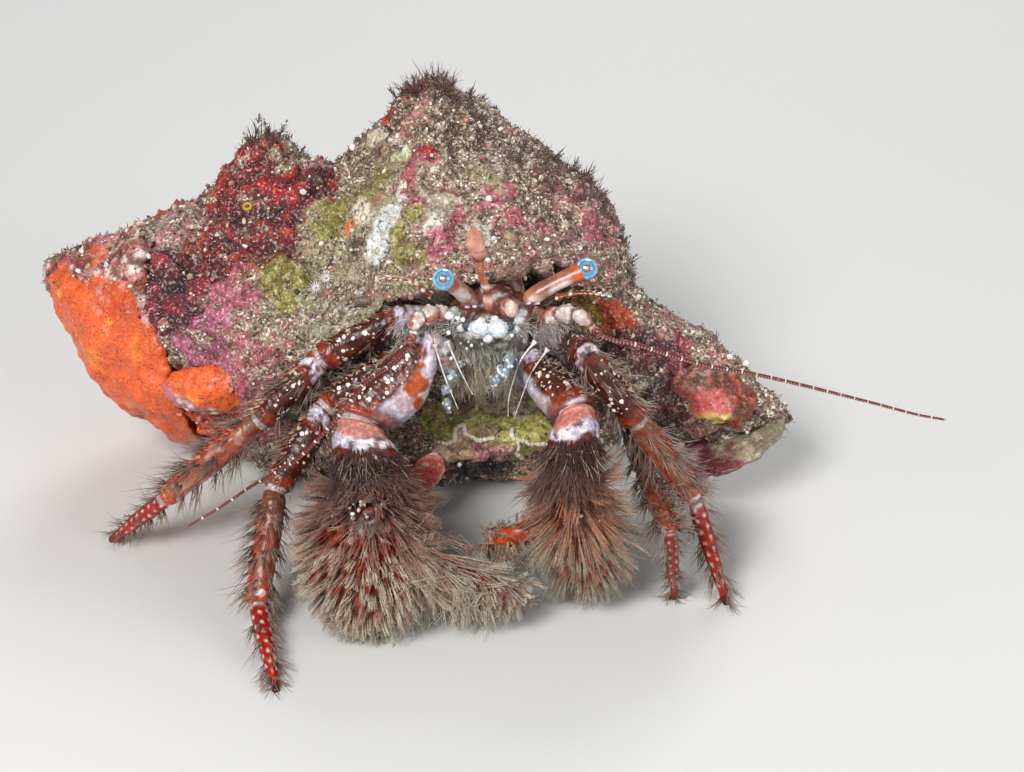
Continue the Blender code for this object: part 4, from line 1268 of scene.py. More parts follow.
def makeSand(points, normals, silt):
    rng = np.random.default_rng(51)
    look = grainLook()
    for part, (count, low, high) in enumerate(sand["batches"]):
        wanted = silt ** 0.8 * (0.4 + step(waves(points, 2.2, 131, 3), -0.2, 0.6)) + 0.04 * (silt > 0)
        wanted = wanted * (points[:, 2] > 0.4)
        pick = rng.choice(len(points), count, replace=False, p=wanted / wanted.sum())
        sizes = rng.uniform(0, 1, count) ** 2 * (high - low) + low
        colours = sand["colours"][rng.choice(len(sand["colours"]), count, p=sand["shares"])]
        grains = Bundle()
        addGrains(grains, points[pick], normals[pick], sizes, colours * rng.uniform(0.7, 1.1, (count, 1)),
                  shellUnwrap(points[pick]), rng)
        grains.build(f"sand_{part + 1}", look, smooth=False)


weed = dict(
    spots=[  # place on the shell, reach, how much, how long
        ((0.444, -4), 4.6, 1.0, 1.7), ((0.40, 2), 3.2, 0.6, 1.3), ((0.52, 4), 6.0, 0.75, 1.2),
        ((0.48, -22), 6.0, 0.6, 1.4), ((0.60, 10), 6.0, 0.9, 1.1), ((0.66, -4), 5.0, 0.9, 1.3),
        ((0.69, 16), 4.5, 0.8, 1.2), ((0.70, 36), 3.5, 0.5, 1.0), ((0.19, 2), 2.6, 1.0, 1.6),
        ((0.22, -14), 4.0, 0.7, 1.4), ((0.10, -4), 3.0, 0.5, 1.0), ((0.30, -2), 4.0, 0.35, 0.9),
        ((0.76, 84), 2.5, 0.4, 0.9), ((0.75, -30), 8.0, 0.5, 1.3), ((0.55, -60), 9.0, 0.4, 1.2),
        ((0.30, -60), 9.0, 0.35, 1.1), ((0.15, -90), 8.0, 0.35, 1.0), ((0.26, 84), 2.5, 0.5, 1.2),
        ((0.24, 92), 2.5, 0.6, 1.2)],
    batches=((5200, 0.038, 0.75, 1.0), (5200, 0.055, 0.9, 0.75)),  # how many, width, spread and length
    sprigFrom=1.15, twigs=26)  # sprigs grow only where the weed is this long


def makeWeed(points, normals, silt):
    rng = np.random.default_rng(52)
    grow, long = silt * 0.10, np.full(len(points), 0.55)
    for at, reach, much, length in weed["spots"]:
        away = np.linalg.norm(points - onShell(*at)[0], axis=1)
        share = (1 - step(away, reach * 0.5, reach)) * much
        grow = np.maximum(grow, share * (0.35 + 0.65 * step(waves(points, 1.3, 133, 2), -0.1, 0.5)))
        long = np.maximum(long, length * share)
    grow = grow * (points[:, 2] > 0.8)
    look = hairLook("weed", 0.6, 0.4)
    for part, (count, width, spread, branch) in enumerate(weed["batches"]):
        pick = rng.choice(len(points), count, p=grow / grow.sum())
        roots = points[pick] + rng.normal(0, 0.12, (count, 3))
        ways = unit(normals[pick] + rng.normal(0, spread * 0.6, (count, 3)) + [0, 0, 0.25])
        lengths = long[pick] * rng.uniform(0.35, 1.25, count) * branch
        dark = blend(rgb(98, 36, 36), rgb(110, 84, 72), rng.uniform(0, 1, count))
        dark = dark * rng.uniform(0.45, 1.15, (count, 1))
        tuft = Bundle()
        addStrands(tuft, roots, ways, lengths, width * rng.uniform(0.6, 1.4, count),
                   rng.normal(0, 0.28, (count, 3)), dark, dark * 1.25 + 0.02, shellUnwrap(roots), blunt=0.5)
        tuft.build(f"weed_{part + 1}", look)
    sprigs = Bundle()  # a few branching tufts that break the outline
    count = weed["twigs"]
    for at, reach, much, length in weed["spots"]:
        if length < weed["sprigFrom"]:
            continue
        close = np.flatnonzero(np.linalg.norm(points - onShell(*at)[0], axis=1) < reach * 0.8)
        for base in rng.choice(close, max(3, int(7 * much))):
            stem = unit(normals[base] + rng.normal(0, 0.35, 3) + [0, 0, 0.4])
            tall = length * rng.uniform(0.8, 1.7)
            s = rng.uniform(0.0, 0.95, count)
            roots = points[base] + stem * (s * tall)[:, None]
            roots[0] = points[base]
            ways = unit(stem * 0.8 + rng.normal(0, 0.7, (count, 3)))
            lengths = tall * 0.45 * (1.1 - s)
            ways[0], lengths[0] = stem, tall
            tone = blend(rgb(84, 24, 26), rgb(120, 90, 74), rng.uniform(0, 1, 1)) * rng.uniform(0.6, 1.1)
            tone, uv = (np.repeat(row, count, 0) for row in (tone, shellUnwrap(points[base][None])))
            addStrands(sprigs, roots, ways, lengths, np.where(np.arange(count) == 0, 0.10, 0.05),
                       rng.normal(0, 0.2, (count, 3)), tone, tone * 1.3, uv)
    sprigs.build("weed_sprigs", look)


def spongeLook(name, pore=0.5, wet=0.35):
    look = Look(name, Coat_Weight=wet, Coat_Roughness=0.3, Subsurface_Weight=0.15, Subsurface_Scale=0.0008)
    tint, nodule = look.tint(), look.mark("nodule")
    mottle = look.fade(look.noise(1.6, 5, 0.62), 0.32, 0.68)
    holes = look.fade(look.pebbles(pore), 0.28, 0.12)
    fine = look.fade(look.noise(0.22, 3, 0.6), 0.4, 0.7)
    colour = look.mix(look.mix(tint, (0.60, 0.42, 0.36), 0.8, "MULTIPLY"), tint, mottle)
    colour = look.mix(colour, look.mix(tint, rgb(255, 214, 120), 0.35), fine * 0.45)
    colour = look.mix(colour, rgb(110, 34, 12), holes * (1 - nodule) * 0.5)
    speck = look.fade(look.noise(0.35, 2), 0.68, 0.74)
    colour = look.mix(colour, rgb(240, 226, 206), speck * 0.6)
    height = look.noise(0.9, 6, 0.68) + look.noise(0.2, 3, 0.6) * 0.35 - holes * 0.5
    return look.wear(colour, look.noise(0.7, 3) * 0.3 + 0.32, height, 0.16)


def nodules(points, size, seed):  # rounded knobs, how much of each point is knob, its number
    first, _, number = cells(points, size, seed)
    return size * 0.55 * np.clip(0.62 - first, 0, 1), step(0.62 - first, 0.0, 0.35), number


def capPaint(points, normals, place):
    orange = layered(
        rgb(228, 84, 18), (rgb(190, 56, 12), step(waves(points, 5, 151, 3), 0, 0.8)),
        (rgb(246, 138, 34), step(waves(points, 2.6, 152, 3), 0.25, 0.8) * 0.75),
        # painted shade: the cap turns darker orange-brown toward its bottom
        (rgb(176, 84, 28), (1 - step(place[:, 2], 0.05, 0.35)) * 0.5))
    knob, face, number = nodules(points, 0.9, 153)
    edge = waves(points, 2.2, 154, 2) * 0.05 + waves(points, 0.8, 157, 2) * 0.035
    ridge = np.interp(place[:, 0], (0, 0.1, 0.3, 0.58, 0.75, 0.93, 1),
                      (0.74, 0.82, 0.88, 0.91, 0.77, 0.64, 0.5))
    rim = step(place[:, 2] + edge - ridge, -0.02, 0.02)
    behind = step(normals[:, 1], 0.2, 0.6) * step(waves(points, 3.5, 155, 2), -0.1, 0.25)
    mixed = cells(points + waves(points, 1.2, 158)[:, None] * 0.4, 0.8, 159)[2]
    red = layered(
        rgb(112, 16, 28), (rgb(176, 84, 98), step(mixed, 0.35, 0.5)),
        (rgb(206, 186, 176), step(mixed, 0.70, 0.78) * step(place[:, 0] + edge, 0.30, 0.45)),
        (rgb(238, 228, 226), face * (number > 0.75) * 0.85),
        (rgb(96, 74, 66), step(waves(points, 1.0, 160, 3), 0.25, 0.5) * 0.8),
        (rgb(230, 214, 214), (1 - step(place[:, 0], 0.02, 0.06)) * 0.8))
    spot, _, chosen = cells(points, 2.6, 156)
    holes = (chosen > 0.75) * (1 - rim)
    colour = layered(
        orange, (red, rim), (blend(rgb(130, 60, 58), rgb(206, 160, 150), face), behind * 0.8),
        (rgb(248, 176, 60), step(0.22 - spot, 0, 0.1) * holes * 0.9))
    rise = knob * np.maximum(rim, behind * 0.7) * 1.3 - 0.25 * near(spot, 0.22, 0.08) * holes
    return colour, np.maximum(rim, behind), rise - 0.55 * near(place[:, 0], 1.0, 0.10)


def lobePaint(points, normals, place):
    colour = layered(rgb(236, 92, 24), (rgb(250, 140, 52), step(waves(points, 1.4, 161, 3), 0, 0.7)),
                     (rgb(206, 60, 16), step(waves(points, 0.7, 162, 2), 0.3, 0.8) * 0.7))
    knob, face, number = nodules(points, 0.8, 163)
    edge = place[:, 2] * 0.8 + place[:, 0] * 0.5 + 0.10 * waves(points, 1.0, 164, 2)
    low = 1 - step(edge, 0.42, 0.50)
    rim = blend(rgb(190, 104, 124), rgb(240, 226, 232), face * (number > 0.3))
    return blend(colour, rim, low), low, knob * low


def lipGrowthPaint(points, normals, place):
    knob, face, number = nodules(points, 0.9, 173)
    wobble = waves(points, 1.2, 172, 2) * 0.10
    x, z = place[:, 0], place[:, 2]
    silt = step(z + wobble, 0.62, 0.78)
    yellow = near(x + wobble, 0.50, 0.20) * (1 - step(z + wobble, 0.30, 0.42))
    yellow = yellow * step(-normals[:, 1], -0.1, 0.2)
    red = step(x + wobble, 0.60, 0.70) * (1 - step(x, 0.93, 1.0))
    colour = layered(
        rgb(196, 74, 88), (rgb(226, 130, 132), step(waves(points, 1.1, 171, 2), 0, 0.7)),
        (blend(rgb(82, 26, 32), rgb(158, 74, 78), face * (number > .4)), silt),
        (rgb(226, 206, 108), np.clip(yellow * 1.6, 0, 1)),
        (blend(rgb(100, 10, 16), rgb(186, 32, 26), face * (number > .5)), red))
    folds = 0.35 * np.clip(yellow, 0, 1) * np.abs(waves(points, 0.7, 174))
    return colour, silt, knob * np.maximum(red, silt * 0.7) * 1.2 + folds


def platePaint(points, normals, place):
    wobble = waves(points, 1.5, 181, 2) * 0.12
    top = step(place[:, 2] - 0.25 * place[:, 0] + wobble, 0.30, 0.42)
    top = top * step(normals[:, 2] + 0.4 * wobble, -0.4, 0.0)
    # the plate's dark wine is partly its own purple and partly painted shade on its underside
    colour = layered(
        rgb(116, 34, 62), (rgb(178, 112, 142), step(waves(points, 1.6, 182, 2), -0.2, 0.6)),
        (rgb(206, 196, 204), step(place[:, 0] + wobble, 0.78, 0.92)),
        (blend(rgb(112, 108, 92), rgb(168, 160, 138), step(waves(points, 0.9, 183, 3), 0, 0.6)), top))
    return colour, np.full(len(points), 0.5), 0.12 * np.sin(place[:, 2] * 26 + wobble * 6) * (1 - top)


growths = {  # the lumps and knobs: height and size; swell, spread and shift set it in place
    "sponge_cap": dict(voxel=0.3, look="orange", slot="orange_sponge", paint=capPaint, lump=(0.42, 3.2),
                       knob=(0.2, 0.9), swell=0.4),
    "sponge_lobe": dict(voxel=0.2, look="orange", slot="orange_sponge", paint=lobePaint, lump=(0.22, 1.8),
                        knob=(0.16, 0.6), swell=0.1, spread=(1.22, 1.1, 1.1), shift=(1.2, -0.1, 1.7)),
    "lip_growth": dict(voxel=0.18, look="red", slot="red_growth", paint=lipGrowthPaint, lump=(0.75, 2.0),
                       knob=(0.2, 0.7)),
    "lip_plate": dict(voxel=0.18, look="red", slot="pale_plate", paint=platePaint, lump=(0.14, 2.5),
                      knob=(0.08, 0.7))}


def makeGrowth(name, growth, looks):
    points, normals, quads = remeshed([name], growth["voxel"], 4)
    lump, knob = (high * waves(points, size, seed, 2) for (high, size), seed in
                  ((growth["lump"], 141), (growth["knob"], 142)))
    rise = growth.get("swell", 0.0) + lump + knob
    low, high = nodeBox(name)
    colour, nodule, more = growth["paint"](points, normals, (points - low) / (high - low))
    middle = (low + high) / 2
    points = middle + (points - middle) * growth.get("spread", 1) + growth.get("shift", 0)
    points = points + normals * (rise + more)[:, None]
    points[:, 2] = np.maximum(points[:, 2], 0)
    makePiece(f"{name}_skin", points, [quads], looks[growth["look"]], colour,
              {"nodule": nodule}, replaces=[name])
    return points, normals, nodule


def makeFlake(look):  # the thin pink flake that hangs from the lip
    low, high = nodeBox("lip_flake")
    half = (high - low) / 2
    rows, around = 60, 90
    ball = ballPoints(rows, around)
    x, y, z = ball.T
    taper = 0.30 + 0.62 * step(z, -1.1, 0.7)
    wide = half[0] * (x * taper - 0.38 * (1 - step(z, -1, 0.6)) * 1.3 + 0.30 * z ** 2 * (z > 0))
    deep = half[1] * (0.26 * y - 0.55 * (x * taper) ** 2 + 0.25 * z)
    points = (low + high) / 2 + np.stack([wide, deep, z * half[2] * 0.97], -1)
    rim = step(np.abs(x), 0.72, 0.95) * (y < 0.6) + step(z, 0.9, 1.0)
    rim = np.clip(rim + step(waves(points, 0.7, 193, 2), 0.5, 0.7) * 0.8, 0, 1)
    colour = layered(
        rgb(196, 72, 78), (rgb(222, 120, 110), step(waves(points, 1.2, 191, 3), 0, 0.6)),
        (rgb(150, 36, 44), step(waves(points, 0.8, 192, 2), 0.3, 0.7) * 0.7),
        (rgb(232, 214, 190), rim * 0.85))
    points = points + ball * (0.10 * waves(points, 0.7, 194, 3) + 0.06 * np.sin(z * 18))[:, None]
    body = Bundle()
    body.add(points, *closedFaces(rows, around), colour, nodule=1.0)
    body.build("lip_flake_skin", look, replaces=["lip_flake"])


smallLife = dict(
    tubes=[((-3.4, 2.1, -1.8), (-4.0, 1.0, -2.4), (-5.5, -0.7, -2.6)),  # from the mouth's floor
           ((-3.4, 2.1, -1.8), (-2.9, 1.2, -2.3), (-1.8, 0.7, -2.5), (0.2, 1.0, -2.4)),
           ((1.8, 1.6, -1.6), (2.1, 0.6, -3.2), (2.6, 2.1, -5.7)),
           ((1.9, 0.8, -2.4), (3.2, 1.2, -2.6), (4.9, 1.9, -3.4)),
           ((4.2, 1.4, -2.9), (4.9, 0.8, -4.4), (5.6, 0.6, -5.4))],
    chalk=rgb(250, 246, 234), polyps=((0.296, 53), (0.280, 57)), vent=(0.172, 24), limpet=(0.353, 62),
    orangeChip=(0.332, 36),
    chips=[((0.366, 3), 1.5), ((0.409, 15), 1.3), ((0.355, 33), 1.1), ((0.352, 31), 0.8), ((0.40, 8), 0.6),
           ((0.43, 6), 0.7), ((0.385, 20), 0.8), ((0.414, 28), 0.9), ((0.405, 32), 0.8), ((0.395, 37), 0.9),
           ((0.380, 42), 1.0), ((0.372, 46), 0.8), ((0.332, 36), 0.7), ((0.05, 8), 0.9), ((0.08, 12), 0.7),
           ((0.10, 9), 0.8), ((0.56, 33), 0.6), ((0.50, 26), 0.6), ((0.17, 32), 0.8), ((0.145, 30), 0.6),
           ((0.72, 76), 0.9), ((0.745, 78), 0.7), ((0.70, 62), 0.5)])


def makeSmallLife(points, normals, look):  # worm tubes, polyps, a sponge's vent, a limpet and chips
    tree = kdtree.KDTree(len(points))
    for i, p in enumerate(points):
        tree.insert(p, i)
    tree.balance()

    def settled(path, lift):  # laid on the finished crust
        found = [tree.find(p)[1] for p in path]
        return points[found] + normals[found] * lift

    def settledAt(at, lift):
        spot, out = onShell(*at)
        return settled(spot[None], lift)[0], out

    body = Bundle()
    rows = 60
    s = np.linspace(0, 1, rows)
    for route in smallLife["tubes"]:
        path = smoothPath(settled(smoothPath(mouthFloor + np.array(route), 26), 0.14)[::4], rows)
        tint = blend(smallLife["chalk"], rgb(190, 176, 130), step(np.sin(s * 40), 0.3, 0.9) * 0.4)
        addTube(body, path, 0.25 + 0.03 * np.sin(s * 60), 14, tint, nodule=1.0)
    for at in smallLife["polyps"]:
        spot, out = settledAt(at, 0.15)
        addBall(body, spot, 0.32, rgb(150, 100, 110), 8, 12, nodule=1.0)
        ways = unit(spokes(*frameOf(out), turnsRound(16)) + out * 0.5)
        addSpikes(body, spot + out * 0.15 + ways * 0.15, ways, 0.85, 0.06, rgb(250, 246, 246), nodule=1.0)
    spot, out = settledAt(smallLife["vent"], 0.1)
    ring = spot + out * 0.22 + spokes(*frameOf(out), fullTurn * np.arange(25) / 24) * 0.36
    addTube(body, ring, 0.16, 10, rgb(186, 140, 40), nodule=1.0)
    # the near-black ball is painted shade standing in for the vent's open hole
    addBall(body, spot + out * 0.05, 0.30, rgb(10, 8, 6), 8, 14, nodule=1.0)
    spot, _ = settledAt(smallLife["limpet"], 0.05)
    addBall(body, spot, (1.2, 0.5, 0.55), rgb(96, 88, 76), 20, 30, nodule=1.0)
    rng = np.random.default_rng(53)
    for at, size in smallLife["chips"]:
        spot, out = settledAt(at, 0.1)
        spin = rng.normal(size=(3, 3))
        one = unit(np.cross(out, spin[0]))
        turned = np.stack([one, np.cross(out, one), unit(out + spin[1] * 0.25)])
        flat = np.array([size * 0.5, size * 0.36, size * 0.16])
        corners = (grainShape * flat * rng.uniform(0.75, 1.25, (12, 3))) @ turned + spot
        orange = at == smallLife["orangeChip"]
        tone = rgb(236, 126, 50) if orange else rgb(232, 224, 200) * rng.uniform(0.75, 1.05)
        body.add(corners, (), grainFaces, tone, nodule=1.0)
    body.build("small_life", look)


chalkSkin = spongeLook("chalkyTube", 0.5, 0.2)
spongeSkins = {"orange": spongeLook("spongeOrange"), "red": spongeLook("growthRed", 0.7, 0.45)}
skins = {name: makeGrowth(name, growth, spongeSkins) for name, growth in growths.items()}
shellPoints, shellNormals, shellSilt = (np.concatenate(pair) for pair in zip(shellSkin, skins["sponge_cap"]))
makeFlake(spongeSkins["red"])
makeSand(shellPoints, shellNormals, shellSilt)
makeWeed(shellPoints, shellNormals, shellSilt)
makeSmallLife(shellPoints, shellNormals, chalkSkin)
print("growths ready")


# the body behind the face: one skin over carapace, thorax and abdomen
def fleshLook(name, rough=0.42, coat=0.3):
    look = Look(name, Coat_Weight=coat, Coat_Roughness=0.22, Subsurface_Weight=0.12, Subsurface_Scale=0.0006)
    tint = look.tint()
    vein = look.fade(look.noise(0.8, 5, 0.6), 0.35, 0.65)
    colour = look.mix(look.mix(tint, rgb(168, 120, 108), 0.5, "MULTIPLY"), tint, vein)
    speck = look.fade(look.pebbles(0.45), 0.20, 0.12) * look.fade(look.noise(1.2, 2), 0.5, 0.62)
    colour = look.mix(colour, rgb(242, 232, 226), speck * 0.55)
    return look.wear(colour, look.noise(0.5, 2) * 0.2 + (rough - 0.1), look.noise(0.4, 4, 0.6), 0.06)


trunk = dict(nodes=("shield", "rear_carapace", "thorax", "abdomen", "tail_fan"), voxel=0.3, smoothing=10,
             swell=0.24, skin=rgb(206, 178, 168), shade=rgb(150, 92, 80), pale=rgb(222, 216, 226))


def makeBody(look):
    points, normals, quads = remeshed(trunk["nodes"], trunk["voxel"], trunk["smoothing"], trunk["swell"])
    low, high = nodeBox("shield")
    y, z = points[:, 1], points[:, 2]
    back = step(y, high[1] - 0.3, high[1] + 1.5)
    top = step(z, low[2] - 0.4, low[2] + 0.6) * (1 - back)
    side = np.abs(points[:, 0] - (low[0] + high[0]) / 2)
    mottle = waves(points, 1.5, 81, 3)
    band = np.sin(y * 2.1 + waves(points, 3, 85) * 0.8)
    plate = layered(
        rgb(126, 70, 56), (rgb(196, 150, 132), step(mottle, 0.1, 0.8)),
        (rgb(70, 30, 28), near(side, 1.6, 0.5) * step(mottle, -0.6, 0.2)),
        (rgb(226, 214, 210), near(side, 0.0, 2.6) * step(waves(points, 0.8, 83, 2), 0.15, 0.4)))
    colour = layered(
        trunk["skin"], (trunk["shade"], step(mottle, -0.1, 0.6)), (plate, top),
        (blend(trunk["pale"], rgb(170, 160, 176), step(mottle, 0, 0.8)), (1 - top) * (1 - back) * 0.85),
        (rgb(196, 120, 100), back * step(band, 0.2, 0.9) * 0.6),
        (rgb(150, 96, 76), back * step(z, 27.5, 30) * 0.5))
    rise = 0.10 * waves(points, 1.2, 86, 3) * top - 0.16 * near(np.abs(y - 3.2 - 0.25 * side), 0, 0.22) * top
    rise = rise - 0.14 * back * near(band, 1.0, 0.35) + 0.05 * waves(points, 0.8, 87, 2)
    rise = rise - 0.25 * near(side, 2.5, 0.25) * top
    makePiece("body_skin", points + normals * rise[:, None], [quads], look, colour,
              replaces=trunk["nodes"])


# feelers, stalks and the parts of the mouth
def ringCentres(name, start, sides):  # the middles and radii of a round node's rings, from one end
    points = np.unique(np.round(nodePoints(name), 3), axis=0)
    order = np.argsort(np.linalg.norm(points - start, axis=1))
    rings = [points[order[i:i + sides]] for i in range(0, len(points) - sides + 1, sides)]
    middles = np.array([r.mean(0) for r in rings])
    return middles, np.array([np.linalg.norm(r - m, axis=1).mean() for r, m in zip(rings, middles)])


def spine(name, other, rows):  # a round node's path from the end near another one, with its radii and end
    middles, radii = ringCentres(name, nearEnd(name, nodeMiddle(other)), 8)
    s = np.linspace(0, 1, rows)
    return smoothPath(middles, rows), s, np.interp(s, np.linspace(0, 1, len(radii)), radii), middles[-1]


mouthMiddle = nodeMiddle("mouthparts")
eye = dict(
    pupilWay=unit([0.0, -0.87, 0.5]), pupil=0.26, ring=0.35, iris=0.92, rows=64, around=84,
    red=rgb(170, 48, 56), glint=rgb(255, 196, 192), sky=rgb(76, 186, 222), light=rgb(130, 210, 234),
    teal=rgb(10, 56, 80), blue=rgb(30, 116, 160))


def eyeLook():
    look = Look("cornea", Roughness=0.08, Coat_Weight=1.0, Coat_Roughness=0.03, Specular_IOR_Level=0.6)
    tint = look.tint()
    facet = look.fade(look.pebbles(0.06), 0.1, 0.6)
    colour = look.mix(tint, look.mix(tint, (1, 1, 1), 0.12), facet)
    return look.wear(colour, None, look.pebbles(0.06), 0.004)


def makeEye(side, look):
    low, high = nodeBox(f"cornea_{side}")
    rows, around, iris = eye["rows"], eye["around"], eye["iris"]
    one, two = frameOf(eye["pupilWay"])
    spin = np.stack([one[0], two[0], eye["pupilWay"]])
    polar = np.linspace(0, np.pi, rows + 2)[1:-1]
    angle = np.concatenate([np.repeat(polar, around), [0, np.pi]])  # away from the pupil's middle
    turn = np.concatenate([np.tile(turnsRound(around), rows), [0, 0]])
    streak = waves(np.stack([np.cos(turn) * 5, np.sin(turn) * 5, angle * 1.2], -1), 1.0, 91, 2)
    wobble = angle + 0.05 * streak
    glint = np.hypot(angle * np.cos(turn), angle * np.sin(turn) - 0.03)
    colour = layered(
        eye["sky"], (eye["light"], step(streak, 0.0, 0.8) * 0.8),
        (eye["blue"], 1 - step(wobble, iris - 0.2, iris)),
        (rgb(110, 196, 226), (1 - step(wobble, 0.8, 0.9)) * step(streak, 0.25, 0.8) * 0.7),
        (eye["teal"], near(wobble, iris - 0.12, 0.09) * step(np.sin(turn + 1.0), -0.7, 0.6)),
        (rgb(30, 14, 26), 1 - step(angle, eye["ring"], eye["ring"] + 0.08)),
        (eye["red"], 1 - step(angle, eye["pupil"] - 0.06, eye["pupil"])),
        (eye["glint"], 1 - step(glint, 0.08, 0.13)), (rgb(20, 60, 84), step(wobble, 1.75, 2.3)))
    ball = Bundle()
    addBall(ball, (low + high) / 2, (high - low).max() / 2, colour, rows, around, spin)
    ball.build(f"eye_{side}", look, replaces=[f"cornea_{side}"])


stalk = dict(
    at=[-0.02, 0.04, 0.2, 0.5, 0.8, 0.96, 1], radii=[0.45, 0.78, 0.92, 0.84, 0.86, 0.95, 0.88], squash=0.92,
    bow=0.22, rows=70, around=48, brown=rgb(154, 92, 64), deep=rgb(96, 44, 32), pale=rgb(226, 212, 208),
    spines=(((0.15, -0.9, -0.1), 1.7), ((-0.45, -1.0, 0.0), 1.3)))  # where, on the left, and how long


def makeStalk(side, look):
    cornea = nodeMiddle(f"cornea_{side}")
    base = farEnd(f"eyestalk_{side}", cornea)
    along = unit(cornea - base)
    length = np.linalg.norm(cornea - base) - 0.25
    t = np.linspace(stalk["at"][0], 1, stalk["rows"])
    bow = np.array([0, 0, 1]) * (stalk["bow"] * np.sin(np.pi * t))[:, None]
    path = base + along * (t * length)[:, None] + bow
    radii = np.interp(t, stalk["at"], stalk["radii"])
    rings, out = tubeRings(path, radii, stalk["around"], stalk["squash"])
    t, high = np.broadcast_to(t[:, None], out.shape[:2]), out[..., 2]
    fall = -(high * 0.87 + out[..., 1] * 0.5)  # the lower side as it is seen
    wave = waves(rings, 1.4, 93, 2)
    colour = layered(
        stalk["brown"], (rgb(184, 114, 80), step(wave, 0, 0.7)),
        (stalk["pale"], step(fall + wave * 0.2, 0.0, 0.4) * (1 - step(t, 0.66, 0.80))),
        (stalk["brown"], near(t + wave * 0.03, 0.26, 0.08) * 0.8),
        (stalk["deep"], near(t + 0.02 * wave, 0.38, 0.09) * step(high, -0.1, 0.4) * 0.65),
        (rgb(214, 98, 42), near(t, 0.90, 0.08) * step(high + 0.6, 0, 0.5) * 0.9),
        (stalk["deep"], near(high + 0.1 * wave, 0.22, 0.08) * step(t, 0.2, 0.4) * 0.5))
    body = Bundle()
    addRings(body, rings, flattened(colour))
    sign = 1 if side == "left" else -1
    s = np.linspace(0, 1, 24)
    way = unit(along * 0.75 + np.array([0, -0.65, 0.1]))
    for shift, long in stalk["spines"]:
        root = base + np.array(shift) * [sign, 1, 1]
        path = smoothPath([root, root + way * long * 0.55 + [0, 0, 0.12], root + way * long], len(s))
        tint = blend(rgb(120, 58, 74), rgb(232, 214, 222), step(s, 0.6, 1.0))
        addTube(body, path, 0.36 * np.sqrt(1 - s ** 2) + 0.03, 16, tint, squash=0.55)
    body.build(f"eyestalk_{side}_skin", look, replaces=[f"eyestalk_{side}"])


feeler = dict(bead=0.34, rowsEach=6, around=10, bandEach=5, bandFrom=6,
              bow={"left": (0, 0, 0), "right": (0, -1.9, 1.1)},
              wine=rgb(112, 16, 18), dark=rgb(60, 8, 12), band=rgb(240, 226, 214), dot=rgb(226, 176, 150))


def makeFeelers(look):
    for side in ("left", "right"):
        name = f"antenna_{side}_feeler"
        middles, radii = ringCentres(name, nearEnd(name, nodeMiddle(f"antenna_{side}_peduncle")), 6)
        beads = int(np.linalg.norm(np.diff(middles, axis=0), axis=1).sum() / feeler["bead"])
        rows, around = beads * feeler["rowsEach"], feeler["around"]
        s = np.linspace(0, 1, rows)
        path = smoothPath(middles, rows)  # the right one bows in front of the arm
        path = path + np.outer(np.sin(np.pi * np.clip(s * 1.25, 0, 1)), feeler["bow"][side])
        beat, number = (s * beads) % 1, np.floor(s * beads).astype(int)
        thick = np.interp(s, np.linspace(0, 1, len(radii)), radii) * (0.62 - 0.12 * s)
        band = (number % feeler["bandEach"] == 0) & (number > feeler["bandFrom"])
        light = (beat > 0.3) & (beat < 0.8)
        colour = blend(feeler["wine"], feeler["dark"], near(beat, 0, 0.16) + near(beat, 1, 0.16))
        colour = np.repeat(colour[:, None], around, 1)
        colour[:, ::5] = blend(colour[:, ::5], feeler["dot"], (light * 0.7)[:, None] * np.ones((1, 2)))
        colour = blend(colour, feeler["band"], np.repeat((band & light)[:, None], around, 1) * 0.95)
        body = Bundle()
        addTube(body, path, thick * (0.86 + 0.2 * np.sin(np.pi * beat)), around, colour)
        body.build(f"feeler_{side}", look, replaces=[name])


def knobby(size, seed):  # rounded knobs all over a tube
    def bumps(rings):
        first = cells(rings.reshape(-1, 3), size, seed)[0]
        return (size * 0.55 * np.clip(0.55 - first, 0, 1)).reshape(rings.shape[:2])
    return bumps


def knobColour(rings, size, seed, low, high):
    first, _, number = cells(rings.reshape(-1, 3), size, seed)
    return blend(low, high, step(0.5 - first, 0.0, 0.28) * (number > 0.25)).reshape(rings.shape)


def addKnobby(body, path, radii, around, size, seed, low, high, squash=1.0, stain=None):
    rings, _ = tubeRings(path, radii, around, squash)
    colour = knobColour(rings, size, seed, low, high)
    if stain:
        colour = stain(rings, colour)
    addTube(body, path, radii, around, colour, knobby(size, seed), squash)


antennules = {
    "antennule_right": dict(
        rows=110, squash=0.55, seed=104, colour=rgb(186, 112, 84),
        at=[0, 0.12, 0.22, 0.3, 0.5, 0.62, 0.7, 0.82, 0.93, 1.0],
        radii=[0.42, 0.52, 0.34, 0.44, 0.34, 0.44, 0.80, 0.88, 0.62, 0.1],
        bands=lambda s: ((rgb(214, 160, 140), near(s, 0.8, 0.14)),
                         (rgb(236, 214, 208), near(s, 0.13, 0.05) + near(s, 0.30, 0.03)),
                         (rgb(120, 56, 46), near(s, 0.22, 0.03) + near(s, 0.64, 0.03)))),
    "antennule_left": dict(
        rows=90, squash=1.0, seed=105, colour=rgb(170, 92, 62),
        at=[0, 0.12, 0.3, 0.36, 0.6, 0.7, 0.76, 0.88, 0.97, 1.0],
        radii=[0.40, 0.5, 0.46, 0.38, 0.48, 0.40, 0.54, 0.66, 0.45, 0.05],
        bands=lambda s: ((rgb(206, 148, 118), near(s, 0.5, 0.12)),
                         (rgb(214, 196, 184), step(s, 0.76, 0.82)),
                         (rgb(240, 236, 232), near(s, 0.34, 0.03) + near(s, 0.72, 0.025))))}
peduncle = dict(rows=60, around=40, knob=0.55, lumps=3.2, low=rgb(204, 186, 176), high=rgb(244, 242, 244),
                stain=rgb(168, 86, 46), join=rgb(60, 52, 60))
scale = dict(rows=90, around=28, knob=0.62, squash=0.6, spikes=16, low=rgb(132, 60, 40),
             high=rgb(236, 220, 196))


